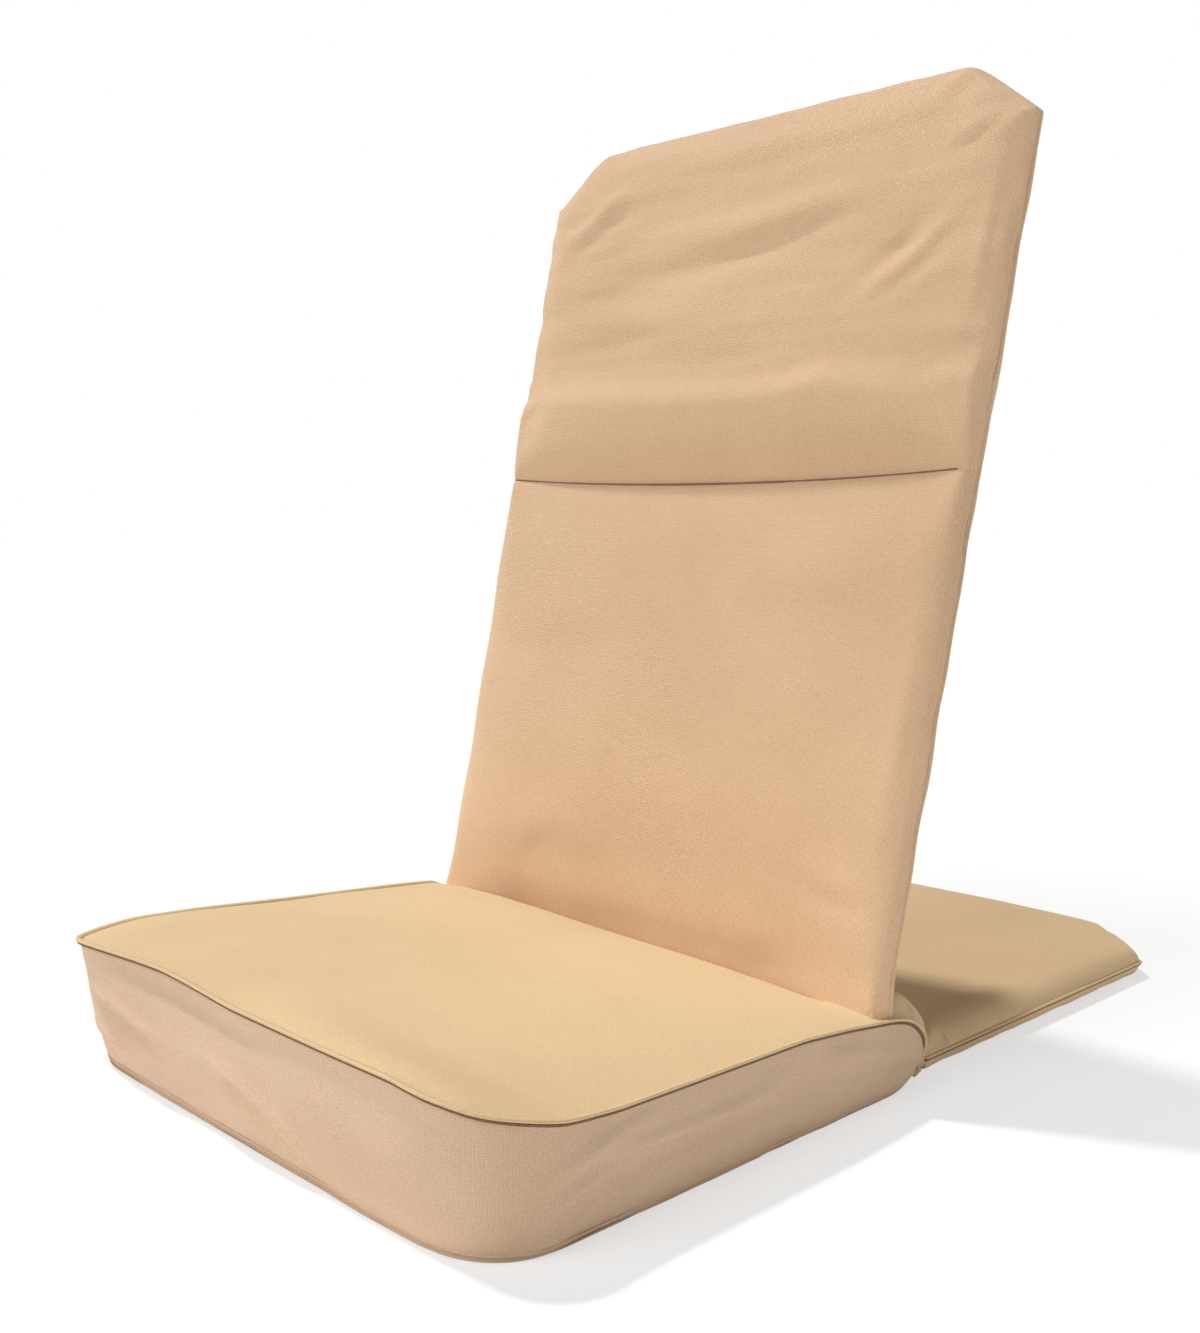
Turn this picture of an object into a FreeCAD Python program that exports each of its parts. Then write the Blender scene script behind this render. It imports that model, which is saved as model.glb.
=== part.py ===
import FreeCAD, Part
import math
import os
import Sketcher

# Folding floor chair: a box cushion, a thin pad that lies on the floor behind it,
# and a padded backrest that folds forward over the cushion.
#
# One bent steel loop runs round the cushion and on through the rear pad, so that the
# pad stops the chair from tipping over backwards. The backrest is a second bent tube,
# whose legs turn on bolts in two brackets on the loop.
#
# Millimetres. The origin is on the floor, mid width, half way between the front of
# the cushion and the rear of the pad. X is across the chair, the front faces -Y and
# Z is up. Pieces of the backrest are drawn upright about the hinge and then leaned.

doc = FreeCAD.newDocument("folding_floor_chair")
sheet = doc.addObject("Spreadsheet::Sheet", "sizes")

DRIVING = (
    # The loop and the reach of the chair
    ("seat_reach", 390.0, "origin to the front of the cushion"),
    ("pad_reach", 390.0, "origin to the rear of the pad"),
    ("tube_inset", 21.5, "side of the cushion to the axis of the side tube"),
    ("tube_offset", "=seat_half_width - tube_inset", "mid plane to the axis of each side tube"),
    ("loop_radius", 9.5, "outside radius of the loop's tube"),
    ("loop_wall", 1.5, "wall of the loop's tube"),
    ("loop_bend", 42.0, "bend radius of the loop, on the axis"),
    ("front_inset", 21.5, "front of the cushion to the axis of the loop"),
    ("pad_chamfer_x", 62.0, "cut corner of the rear pad, across"),
    ("pad_chamfer_y", 60.0, "cut corner of the rear pad, lengthwise"),
    ("joint_setback", 60.0, "origin to the joint of the loop's two halves"),
    ("sleeve_half", 35.0, "half the length of a joint sleeve"),
    ("sleeve_wall", 1.5, "wall of a joint sleeve"),
    ("cross_setback", 8.0, "cross tube's axis ahead of the origin"),
    # Cloth and clearances
    ("cloth", 1.5, "canvas with its backing"),
    ("soft_gap", 0.3, "clearance of soft pieces"),
    ("running_gap", 0.05, "radial clearance of a turning fit"),
    ("slide_gap", 0.1, "clearance of flat sliding faces"),
    # The hinge
    ("pivot_setback", 48.5, "hinge axis ahead of the origin"),
    ("pivot_height", 54.0, "hinge axis above the floor"),
    ("recline", 12.8, "backrest's lean from upright, in degrees"),
    ("bolt_radius", 4.0, "pivot bolt"),
    ("head_radius", 6.6, "pivot bolt's head"),
    ("head_thickness", 3.6, "pivot bolt's head"),
    ("nut_across", 7.5, "centre to corner of the lock nut"),
    ("nut_thickness", 7.0, "lock nut"),
    ("bushing_wall", 1.8, "leg bushing"),
    ("washer_radius", 9.0, "washer between leg and ear"),
    ("ear_gap", 1.5, "leg to the inside of an ear"),
    ("ear_plate", 2.5, "plate of the bracket"),
    ("ear_radius", 10.8, "rounded top of an ear"),
    ("ear_foot_height", 4.0, "lower edge of the ears above the floor"),
    ("ear_foot_setback", 14.0, "rear foot of the ears ahead of the origin"),
    ("stop_top", 12.0, "top of the recline stop below the hinge axis"),
    ("rivet_radius", 2.4, "rivet shank"),
    ("rivet_head", 4.4, "rivet head"),
    ("rivet_head_thickness", 1.5, "rivet head"),
    ("rivet_front", 60.0, "front rivets ahead of the origin"),
    ("rivet_rear", 27.0, "rear rivets ahead of the origin"),
    # The backrest frame, measured along the panel from the hinge axis
    ("back_radius", 8.0, "outside radius of the backrest's tube"),
    ("back_wall", 1.2, "wall of the backrest's tube"),
    ("back_bend", 34.0, "bend radius of the backrest's tube"),
    ("back_top", 623.5, "top edge of the backrest"),
    ("back_top_inset", 12.5, "top edge to the axis of the tube"),
    ("back_chamfer_x", 50.0, "cut corner of the backrest, across"),
    ("back_chamfer_z", 38.0, "cut corner of the backrest, along the panel"),
    ("leg_tail", 22.0, "leg below the hinge axis, without its plug"),
    ("plug_cap", 2.0, "head of a leg plug"),
    ("plug_stem", 12.0, "stem of a leg plug"),
    ("cross_rise", 40.0, "backrest's cross tube above the hinge axis"),
    # The backrest's cover and pads
    ("back_side_cover", 15.5, "side tube's axis to the edge of the backrest"),
    ("back_half_width", "=tube_offset + back_side_cover", "half the backrest's width over the cloth"),
    ("back_start", 16.0, "lower edge of the cover above the hinge axis"),
    ("seam_rise", 354.0, "stitched seam above the hinge axis"),
    ("back_edge_depth", 11.4, "front face at its sides, ahead of the axis"),
    ("back_crown_low", 4.0, "crown of the lower pad"),
    ("back_crown_high", 1.8, "crown of the upper pad"),
    ("back_side_roll", 3.6, "bulge of the side edge"),
    # The cushion
    ("seat_half_width", 222.5, "half the cushion's width at its top seam"),
    ("foot_inset", 3.5, "how far the foot stands in from the top seam"),
    ("seat_foot_half_width", "=seat_half_width - foot_inset", "half the cushion's width on the floor"),
    ("seat_corner", 48.0, "rounding of the front corners in plan"),
    ("seat_front_bow", 3.0, "bow of the front face in plan"),
    ("seat_front_height", 84.0, "top seam at the front"),
    ("seat_mid_height", 74.0, "top seam half way back"),
    ("seat_rear_height", 66.0, "top seam at the backrest"),
    ("seat_crown", 7.0, "crown of the cushion"),
    ("seat_side_bulge", 2.5, "bulge of the side band"),
    ("seat_draw", 2.5, "how far the sides pull in between the corners"),
    ("pocket_inset", 20.5, "tube axis to the inside of the foam's hinge pocket"),
    ("pocket_front", 78.0, "front of the hinge pocket ahead of the origin"),
    # The loose cloth behind the hinge
    ("nose_radius", 15.2, "cloth round the hinge axis"),
    ("knee_setback", 22.0, "top of the rear slope ahead of the origin"),
    ("knee_height", 63.5, "top of the rear slope"),
    ("tail_reach", 22.0, "foot of the rear slope behind the origin"),
    ("tail_height", 29.0, "foot of the rear slope"),
    ("tail_roll", 3.0, "roll of the cloth at the foot of the slope"),
    ("pinch_reach", 12.0, "pinch between cushion and pad, behind the origin"),
    ("pinch_gap", 1.0, "gap of the pinch"),
    ("hinge_half_width", "=seat_foot_half_width", "half the width of the loose cloth"),
    ("hinge_corner", 26.0, "rounding of the cushion's rear corners"),
    ("nose_dip", 25.0, "how far the nose wraps below the hinge axis, in degrees"),
    ("nose_low", 36.0, "where the nose meets the cushion's rear, above the floor"),
    # The rear pad
    ("pad_sag", 4.0, "sag of the pad inside its tube"),
    ("pad_ridge", 34.0, "width of the pad's raised rim"),
)

for row, (alias, value, meaning) in enumerate(DRIVING, start=1):
    sheet.set("A%d" % row, meaning)
    sheet.setAlias("B%d" % row, alias)
for row, (alias, value, meaning) in enumerate(DRIVING, start=1):
    sheet.set("B%d" % row, str(value))
doc.recompute()


def size(name):
    """A driving dimension, read from the sheet."""
    return float(sheet.get(name))


def amount(formula):
    """Value of signed names and numbers, such as '- tube_offset + cloth'."""
    total = 0.0
    sign = 1.0
    for word in formula.split():
        if word == "+":
            sign = 1.0
        elif word == "-":
            sign = -1.0
        else:
            total += sign * (float(word) if word[0].isdigit() else size(word))
            sign = 1.0
    return total


def bound(formula):
    """The same formula as an expression on the sheet."""
    words = []
    for word in formula.split():
        plain = word in "+-" or word[0].isdigit()
        words.append(word if plain else "sizes." + word)
    return " ".join(words)


LOOP_HEIGHT = "cloth + soft_gap + loop_radius"
PAD_TOP = "cloth + soft_gap + loop_radius + loop_radius + soft_gap + cloth"
PAD_FRONT = "pinch_reach + pinch_gap"
LOOP_FRONT = "- seat_reach + front_inset"
LOOP_REAR = "pad_reach - cloth - soft_gap - loop_radius"
BACK_TOP_AXIS = "back_top - back_top_inset"
EAR_INSIDE = "back_radius + ear_gap"
EAR_OUTSIDE = "back_radius + ear_gap + ear_plate"


def lean():
    """Placement that takes the upright backrest to its place on the hinge."""
    base = FreeCAD.Vector(0, -size("pivot_setback"), size("pivot_height"))
    turn = FreeCAD.Rotation(FreeCAD.Vector(1, 0, 0), -size("recline"))
    return FreeCAD.Placement(base, turn)


def on_backrest(item):
    """Put a piece that was drawn upright on the leaning backrest."""
    item.Placement = lean()
    item.setExpression("Placement.Base.y", bound("- pivot_setback"))
    item.setExpression("Placement.Base.z", bound("pivot_height"))
    item.setExpression("Placement.Rotation.Angle", bound("- recline"))
    return item


def new_body(label):
    body = doc.addObject("PartDesign::Body", label)
    body.Label = label
    body.AllowCompound = True
    return body


def new_sketch(body, plane, label, offset=None):
    """A sketch on one of the body's own planes, moved along the plane's normal."""
    sketch = body.newObject("Sketcher::SketchObject", label)
    planes = [item for item in body.Origin.OriginFeatures if item.Role == plane]
    sketch.AttachmentSupport = (planes[0], [""])
    sketch.MapMode = "FlatFace"
    if offset:
        sketch.setExpression("AttachmentOffset.Base.z", bound(offset))
    return sketch


def fix_point(sketch, geometry, vertex, across, up):
    """Tie a point of the sketch to two formulas, measured from the sketch's origin."""
    for kind, formula in (("DistanceX", across), ("DistanceY", up)):
        value = amount(formula)
        index = sketch.addConstraint(Sketcher.Constraint(kind, -1, 1, geometry, vertex, value))
        sketch.setExpression("Constraints[%d]" % index, bound(formula))


def fix_radius(sketch, geometry, formula):
    value = amount(formula)
    index = sketch.addConstraint(Sketcher.Constraint("Radius", geometry, value))
    sketch.setExpression("Constraints[%d]" % index, bound(formula))


def circle(sketch, across, up, radius):
    """A circle whose centre and radius follow the sheet."""
    centre = FreeCAD.Vector(amount(across), amount(up), 0)
    made = Part.Circle(centre, FreeCAD.Vector(0, 0, 1), amount(radius))
    index = sketch.addGeometry(made, False)
    fix_point(sketch, index, 3, across, up)
    fix_radius(sketch, index, radius)
    return index


def bend_points(before, corner, after, radius):
    """Start, middle, end and centre of the arc that rounds a corner."""
    back = (before - corner).normalize()
    ahead = (after - corner).normalize()
    half = back.getAngle(ahead) / 2
    reach = radius / math.tan(half)
    inward = (back + ahead).normalize()
    centre = corner + inward * (radius / math.sin(half))
    return corner + back * reach, centre - inward * radius, corner + ahead * reach, centre


def bent_path(sketch, corners, radius):
    """Straight runs through the corners, each corner rounded by a tangent arc."""
    points = [FreeCAD.Vector(amount(across), amount(up), 0) for across, up in corners]
    starts = [points[0]]
    arcs = []
    for before, corner, after in zip(points, points[1:], points[2:]):
        first, middle, last, centre = bend_points(before, corner, after, amount(radius))
        arcs.append((first, middle, last))
        starts += [first, last]
    starts.append(points[-1])
    lines = [sketch.addGeometry(Part.LineSegment(a, b), False) for a, b in zip(starts[::2], starts[1::2])]
    fix_point(sketch, lines[0], 1, *corners[0])
    fix_point(sketch, lines[-1], 2, *corners[-1])
    for number, (first, middle, last) in enumerate(arcs):
        turn = (middle - first).cross(last - middle).z
        begin, end = (1, 2)
        if turn < 0:
            first, last = last, first
            begin, end = (2, 1)
        arc = sketch.addGeometry(Part.Arc(first, middle, last), False)
        sketch.addConstraint(Sketcher.Constraint("Tangent", lines[number], 2, arc, begin))
        sketch.addConstraint(Sketcher.Constraint("Tangent", arc, end, lines[number + 1], 1))
        fix_radius(sketch, arc, radius)
        corner = sketch.addGeometry(Part.Point(points[number + 1]), True)
        fix_point(sketch, corner, 1, *corners[number + 1])
        sketch.addConstraint(Sketcher.Constraint("PointOnObject", corner, 1, lines[number]))
        sketch.addConstraint(Sketcher.Constraint("PointOnObject", corner, 1, lines[number + 1]))
    return sketch


def bent_tube(body, path_plane, path_offset, corners, bend, end_plane, end_offset, centre, radius, wall):
    """A tube swept along a bent path, from a ring drawn on the path's first end."""
    path = new_sketch(body, path_plane, body.Label + "_path", path_offset)
    bent_path(path, corners, bend)
    ring = new_sketch(body, end_plane, body.Label + "_ring", end_offset)
    circle(ring, centre[0], centre[1], radius)
    circle(ring, centre[0], centre[1], radius + " - " + wall)
    doc.recompute()
    pipe = body.newObject("PartDesign::AdditivePipe", body.Label + "_pipe")
    pipe.Profile = (ring, [""])
    pipe.Spine = (path, ["Edge%d" % (number + 1) for number in range(len(path.Shape.Edges))])
    pipe.SpineTangent = False
    path.Visibility = False
    doc.recompute()
    return pipe


def drill(body, plane, places, radius):
    """Holes through the whole body, square to a plane."""
    sketch = new_sketch(body, plane, body.Label + "_holes")
    for across, up in places:
        circle(sketch, across, up, radius)
    pocket = body.newObject("PartDesign::Pocket", body.Label + "_drilled")
    pocket.Profile = sketch
    pocket.Type = "ThroughAll"
    pocket.Midplane = True
    doc.recompute()
    return pocket


def pad(body, sketch, length, middle=False):
    made = body.newObject("PartDesign::Pad", sketch.Label + "_pad")
    made.Profile = sketch
    made.Midplane = middle
    made.Length = amount(length)
    made.setExpression("Length", bound(length))
    return made


def rod(label, axis, radius, length, place):
    """A Part cylinder along one axis, from a starting point given by formulas."""
    turns = {
        "X": FreeCAD.Rotation(FreeCAD.Vector(0, 1, 0), 90),
        "Y": FreeCAD.Rotation(FreeCAD.Vector(1, 0, 0), -90),
        "Z": FreeCAD.Rotation(),
    }
    made = doc.addObject("Part::Cylinder", label)
    made.setExpression("Radius", bound(radius))
    made.setExpression("Height", bound(length))
    made.Placement = FreeCAD.Placement(FreeCAD.Vector(), turns[axis])
    for name, formula in zip("xyz", place):
        made.setExpression("Placement.Base." + name, bound(formula))
    return made


def join(label, items):
    made = doc.addObject("Part::MultiFuse", label)
    made.Shapes = items
    return made


def cut(label, base, tool):
    made = doc.addObject("Part::Cut", label)
    made.Base = base
    made.Tool = tool
    return made


def negated(formula):
    """The formula with every sign turned round."""
    if formula[0] not in "+-":
        formula = "+ " + formula
    return formula.translate(str.maketrans("+-", "-+"))


def spans(side, near, thickness):
    """Low x of a slice that lies from near to near + thickness off the tube's axis.

    Both are measured outwards from the mid plane on side +1 and mirrored on side -1.
    """
    if side > 0:
        return "tube_offset " + near
    return " ".join(("- tube_offset", negated(near), negated(thickness)))


# The steel loop in its two halves, the sleeves in their joints and the cross tube

def loop_half(label, corners):
    body = new_body(label)
    bent_tube(body, "XY_Plane", LOOP_HEIGHT, corners, "loop_bend",
              "XZ_Plane", "- joint_setback", ("tube_offset", LOOP_HEIGHT), "loop_radius", "loop_wall")
    return body


front_half = loop_half("base_front_tube", (
    ("tube_offset", "joint_setback"),
    ("tube_offset", LOOP_FRONT),
    ("- tube_offset", LOOP_FRONT),
    ("- tube_offset", "joint_setback"),
))
rivet_places = (("- rivet_front", LOOP_HEIGHT), ("- rivet_rear", LOOP_HEIGHT))
drill(front_half, "YZ_Plane", rivet_places, "rivet_radius")

rear_half = loop_half("base_rear_tube", (
    ("tube_offset", "joint_setback"),
    ("tube_offset", LOOP_REAR + " - pad_chamfer_y"),
    ("tube_offset - pad_chamfer_x", LOOP_REAR),
    ("- tube_offset + pad_chamfer_x", LOOP_REAR),
    ("- tube_offset", LOOP_REAR + " - pad_chamfer_y"),
    ("- tube_offset", "joint_setback"),
))

sleeves = new_body("tube_joint_sleeves")
sleeve_rings = new_sketch(sleeves, "XZ_Plane", "sleeve_rings", "- joint_setback")
sleeve_radius = "loop_radius - loop_wall - running_gap"
for across in ("tube_offset", "- tube_offset"):
    circle(sleeve_rings, across, LOOP_HEIGHT, sleeve_radius)
    circle(sleeve_rings, across, LOOP_HEIGHT, sleeve_radius + " - sleeve_wall")
pad(sleeves, sleeve_rings, "sleeve_half + sleeve_half", middle=True)


def coped_cross_tube(label, place_y, place_z, side_axis, side_radius, side_start, side_length):
    """A tube between the side tubes, its ends cut to sit against them."""
    half = "tube_offset"
    low = "- tube_offset"
    outer = rod(label + "_outer", "X", "back_radius", half + " + " + half, (low, place_y, place_z))
    bore = rod(label + "_bore", "X", "back_radius - back_wall", half + " + " + half, (low, place_y, place_z))
    seats = [bore]
    for number, across in enumerate((half, low)):
        if side_axis == "Y":
            place = (across, side_start, place_z)
        else:
            place = (across, place_y, side_start)
        seats.append(rod("%s_seat%d" % (label, number), side_axis, side_radius, side_length, place))
    return cut(label, outer, join(label + "_cuts", seats))


base_cross = coped_cross_tube("base_cross_tube", "- cross_setback", LOOP_HEIGHT, "Y",
                              "loop_radius + running_gap", "- cross_setback - loop_bend",
                              "loop_bend + loop_bend")


# The hinge: brackets that straddle the loop, their rivets, and the pivots

def ear_outline(sketch):
    """Side view of an ear: slanted front, foot on the loop, round top at the hinge."""
    angle = math.radians(size("recline"))
    pivot = FreeCAD.Vector(-size("pivot_setback"), size("pivot_height"), 0)
    radius = size("ear_radius")
    down = FreeCAD.Vector(-math.sin(angle), -math.cos(angle), 0)
    front_top = pivot + FreeCAD.Vector(-math.cos(angle), math.sin(angle), 0) * radius
    front_foot = front_top + down * ((front_top.y - size("ear_foot_height")) / math.cos(angle))
    rear_foot = FreeCAD.Vector(-size("ear_foot_setback"), size("ear_foot_height"), 0)
    to_pivot = pivot - rear_foot
    spread = math.asin(radius / to_pivot.Length)
    along = FreeCAD.Rotation(FreeCAD.Vector(0, 0, 1), -math.degrees(spread)).multVec(to_pivot).normalize()
    rear_top = rear_foot + along * (to_pivot.Length * math.cos(spread))
    middle = pivot + ((front_top + rear_top) / 2 - pivot).normalize() * radius
    if (middle - pivot).y < 0:
        middle = pivot * 2 - middle
    front = sketch.addGeometry(Part.LineSegment(front_top, front_foot), False)
    foot = sketch.addGeometry(Part.LineSegment(front_foot, rear_foot), False)
    rear = sketch.addGeometry(Part.LineSegment(rear_foot, rear_top), False)
    top = sketch.addGeometry(Part.Arc(rear_top, middle, front_top), False)
    starts_rear = sketch.Geometry[top].StartPoint.distanceToPoint(rear_top) < 0.001
    near_rear, near_front = (1, 2) if starts_rear else (2, 1)
    sketch.addConstraint(Sketcher.Constraint("Coincident", front, 2, foot, 1))
    sketch.addConstraint(Sketcher.Constraint("Coincident", foot, 2, rear, 1))
    sketch.addConstraint(Sketcher.Constraint("Tangent", rear, 2, top, near_rear))
    sketch.addConstraint(Sketcher.Constraint("Tangent", top, near_front, front, 1))
    sketch.addConstraint(Sketcher.Constraint("Horizontal", foot))
    fix_point(sketch, top, 3, "- pivot_setback", "pivot_height")
    fix_radius(sketch, top, "ear_radius")
    fix_point(sketch, rear, 1, "- ear_foot_setback", "ear_foot_height")
    slant = sketch.addConstraint(Sketcher.Constraint("Angle", -1, 1, front, 2, math.pi / 2 - angle))
    sketch.setExpression("Constraints[%d]" % slant, "90 - sizes.recline")
    circle(sketch, "- pivot_setback", "pivot_height", "bolt_radius + running_gap")
    for across, up in rivet_places:
        circle(sketch, across, up, "rivet_radius")


def stop_outline(sketch):
    """Side view of the front plate that the leg's tail leans on at full recline."""
    angle = math.radians(size("recline"))
    pivot = FreeCAD.Vector(-size("pivot_setback"), size("pivot_height"), 0)
    along = FreeCAD.Vector(math.sin(angle), math.cos(angle), 0)
    ahead = FreeCAD.Vector(-math.cos(angle), math.sin(angle), 0)
    top = pivot - along * size("stop_top")
    floor = amount(LOOP_HEIGHT + " + loop_radius + running_gap")
    corners = []
    for depth in (size("ear_radius"), size("ear_radius") - size("ear_plate")):
        upper = top + ahead * depth
        lower = upper - along * ((upper.y - floor) / math.cos(angle))
        corners.append((upper, lower))
    (front_top, front_low), (rear_top, rear_low) = corners
    ring = (front_top, front_low, rear_low, rear_top)
    lines = [sketch.addGeometry(Part.LineSegment(a, b), False) for a, b in zip(ring, ring[1:] + ring[:1])]
    for first, second in zip(lines, lines[1:] + lines[:1]):
        sketch.addConstraint(Sketcher.Constraint("Coincident", first, 2, second, 1))
    centre = sketch.addGeometry(Part.Point(pivot), True)
    fix_point(sketch, centre, 1, "- pivot_setback", "pivot_height")
    front, low, rear, upper = lines
    sketch.addConstraint(Sketcher.Constraint("Horizontal", low))
    sketch.addConstraint(Sketcher.Constraint("Parallel", front, rear))
    sketch.addConstraint(Sketcher.Constraint("Perpendicular", front, upper))
    slant = sketch.addConstraint(Sketcher.Constraint("Angle", -1, 1, front, 2, math.pi / 2 - angle))
    sketch.setExpression("Constraints[%d]" % slant, "90 - sizes.recline")
    for line, formula in ((front, "ear_radius"), (rear, "ear_radius - ear_plate"), (upper, "stop_top")):
        index = sketch.addConstraint(Sketcher.Constraint("Distance", centre, 1, line, amount(formula)))
        sketch.setExpression("Constraints[%d]" % index, bound(formula))
    floor_formula = LOOP_HEIGHT + " + loop_radius + running_gap"
    index = sketch.addConstraint(Sketcher.Constraint("DistanceY", -1, 1, rear, 1, floor))
    sketch.setExpression("Constraints[%d]" % index, bound(floor_formula))


def bracket(label, side):
    body = new_body(label)
    axis = "tube_offset" if side > 0 else "- tube_offset"
    plate = new_sketch(body, "YZ_Plane", label + "_stop", axis)
    stop_outline(plate)
    pad(body, plate, EAR_OUTSIDE + " + " + EAR_OUTSIDE, middle=True)
    for name, offset in (("_right", axis + " + " + EAR_INSIDE),
                         ("_left", axis + " - back_radius - ear_gap - ear_plate")):
        ear = new_sketch(body, "YZ_Plane", label + name, offset)
        ear_outline(ear)
        pad(body, ear, "ear_plate")
        doc.recompute()
    return body


brackets = [bracket("pivot_bracket_right", 1), bracket("pivot_bracket_left", -1)]

rivets = []
bolts = []
nuts = []
washers = []
plastic_bushings = []
for side in (1, -1):
    name = "right" if side > 0 else "left"
    for number, (across, up) in enumerate(rivet_places):
        stem = "%s_rivet%d" % (name, number)
        width = EAR_OUTSIDE + " + " + EAR_OUTSIDE
        inner_head = spans(side, "- back_radius - ear_gap - ear_plate - rivet_head_thickness", "rivet_head_thickness")
        shank_start = spans(side, "- back_radius - ear_gap - ear_plate", width)
        outer_head = spans(side, "+ " + EAR_OUTSIDE, "rivet_head_thickness")
        rivets.append(rod(stem + "_shank", "X", "rivet_radius", width, (shank_start, across, up)))
        for part_name, start in (("_in", inner_head), ("_out", outer_head)):
            rivets.append(rod(stem + part_name, "X", "rivet_head", "rivet_head_thickness", (start, across, up)))
    pivot = ("- pivot_setback", "pivot_height")
    shank = EAR_OUTSIDE + " + " + EAR_OUTSIDE + " + nut_thickness"
    shank_start = spans(side, "- back_radius - ear_gap - ear_plate - nut_thickness", shank)
    head_start = spans(side, "+ " + EAR_OUTSIDE, "head_thickness")
    bolts.append(rod(name + "_bolt_shank", "X", "bolt_radius", shank, (shank_start,) + pivot))
    bolts.append(rod(name + "_bolt_head", "X", "head_radius", "head_thickness", (head_start,) + pivot))
    nut = doc.addObject("Part::Prism", name + "_nut")
    nut.Polygon = 6
    nut.setExpression("Circumradius", bound("nut_across"))
    nut.setExpression("Height", bound("nut_thickness"))
    nut.Placement = FreeCAD.Placement(FreeCAD.Vector(), FreeCAD.Rotation(FreeCAD.Vector(0, 1, 0), 90))
    nut_start = spans(side, "- back_radius - ear_gap - ear_plate - nut_thickness", "nut_thickness")
    for axis_name, formula in zip("xyz", (nut_start,) + pivot):
        nut.setExpression("Placement.Base." + axis_name, bound(formula))
    thread = rod(name + "_nut_thread", "X", "bolt_radius + running_gap", "nut_thickness", (nut_start,) + pivot)
    nuts.append(cut(name + "_nut_body", nut, thread))
    for place, near in (("in", "- back_radius - ear_gap + slide_gap"), ("out", "+ back_radius + slide_gap")):
        thickness = "ear_gap - slide_gap - slide_gap"
        start = spans(side, near, thickness)
        disc = rod("%s_washer_%s" % (name, place), "X", "washer_radius", thickness, (start,) + pivot)
        hole = rod("%s_washer_%s_hole" % (name, place), "X", "bolt_radius + running_gap", thickness,
                   (start,) + pivot)
        washers.append(cut("%s_washer_%s_ring" % (name, place), disc, hole))
    bush_start = spans(side, "- back_radius", "back_radius + back_radius")
    sleeve = rod(name + "_bush", "X", "bolt_radius + running_gap + bushing_wall", "back_radius + back_radius",
                 (bush_start, "0", "0"))
    hole = rod(name + "_bush_hole", "X", "bolt_radius + running_gap", "back_radius + back_radius",
               (bush_start, "0", "0"))
    plastic_bushings.append(cut(name + "_bush_ring", sleeve, hole))

join("bracket_rivets", rivets)
join("pivot_bolts", bolts)
join("pivot_nuts", nuts)
join("pivot_washers", washers)


# The backrest's frame, drawn upright about the hinge axis

back_tube = new_body("back_tube")
bent_tube(back_tube, "XZ_Plane", None, (
    ("tube_offset", "- leg_tail"),
    ("tube_offset", BACK_TOP_AXIS + " - back_chamfer_z"),
    ("tube_offset - back_chamfer_x", BACK_TOP_AXIS),
    ("- tube_offset + back_chamfer_x", BACK_TOP_AXIS),
    ("- tube_offset", BACK_TOP_AXIS + " - back_chamfer_z"),
    ("- tube_offset", "- leg_tail"),
), "back_bend", "XY_Plane", "- leg_tail", ("tube_offset", "0"), "back_radius", "back_wall")
drill(back_tube, "YZ_Plane", (("0", "0"),), "bolt_radius + running_gap + bushing_wall + running_gap")
on_backrest(back_tube)

back_cross = coped_cross_tube("back_lower_tube", "0", "cross_rise", "Z", "back_radius + running_gap",
                              "cross_rise - back_bend", "back_bend + back_bend")
on_backrest(back_cross)
on_backrest(join("leg_bushings", plastic_bushings))

plugs = new_body("leg_plugs")
caps = new_sketch(plugs, "XY_Plane", "plug_caps", "- leg_tail - plug_cap")
stems = new_sketch(plugs, "XY_Plane", "plug_stems", "- leg_tail")
for across in ("tube_offset", "- tube_offset"):
    circle(caps, across, "0", "back_radius")
    circle(stems, across, "0", "back_radius - back_wall - running_gap")
pad(plugs, caps, "plug_cap")
pad(plugs, stems, "plug_stem")
on_backrest(plugs)


# Soft forms: lofts through sections of lines and arcs, trimmed by plan outlines

def wire_of(edges):
    return Part.Wire(Part.__sortEdges__(edges))


def line(a, b):
    return Part.LineSegment(FreeCAD.Vector(*a), FreeCAD.Vector(*b)).toShape()


def arc(a, b, c):
    return Part.Arc(FreeCAD.Vector(*a), FreeCAD.Vector(*b), FreeCAD.Vector(*c)).toShape()


def rounded_outline(points, radii):
    """A closed flat outline whose corners are rounded by tangent arcs."""
    corners = [FreeCAD.Vector(*point) for point in points]
    count = len(corners)
    edges = []
    joints = []
    for number in range(count):
        corner = corners[number]
        if radii[number] <= 0:
            joints.append((corner, corner))
            continue
        first, middle, last, centre = bend_points(
            corners[number - 1], corner, corners[(number + 1) % count], radii[number])
        edges.append(Part.Arc(first, middle, last).toShape())
        joints.append((first, last))
    for number in range(count):
        start = joints[number][1]
        end = joints[(number + 1) % count][0]
        if start.distanceToPoint(end) > 0.001:
            edges.append(Part.LineSegment(start, end).toShape())
    return wire_of(edges)


def prism(wire, direction):
    return Part.Face(wire).extrude(FreeCAD.Vector(*direction))


def slab(low, high):
    """A box from its two corners."""
    lengths = [b - a for a, b in zip(low, high)]
    return Part.makeBox(*lengths, FreeCAD.Vector(*low))


def soft_piece(label, shape, leaning=False):
    """Keep a finished soft solid as a piece of the document."""
    solids = sorted(shape.Solids, key=lambda solid: -solid.Volume)
    kept = [solid for solid in solids if solid.Volume > 1.0]
    made = doc.addObject("Part::Feature", label)
    made.Shape = kept[0] if len(kept) == 1 else Part.makeCompound(kept)
    if leaning:
        on_backrest(made)
    return made


SEAT_FRONT = -size("seat_reach")
# How far cutting tools reach past the piece that they trim
BEYOND = 60.0
# Height of the side band's bulge, as a share of the band
BULGE_PLACE = 0.5
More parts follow.
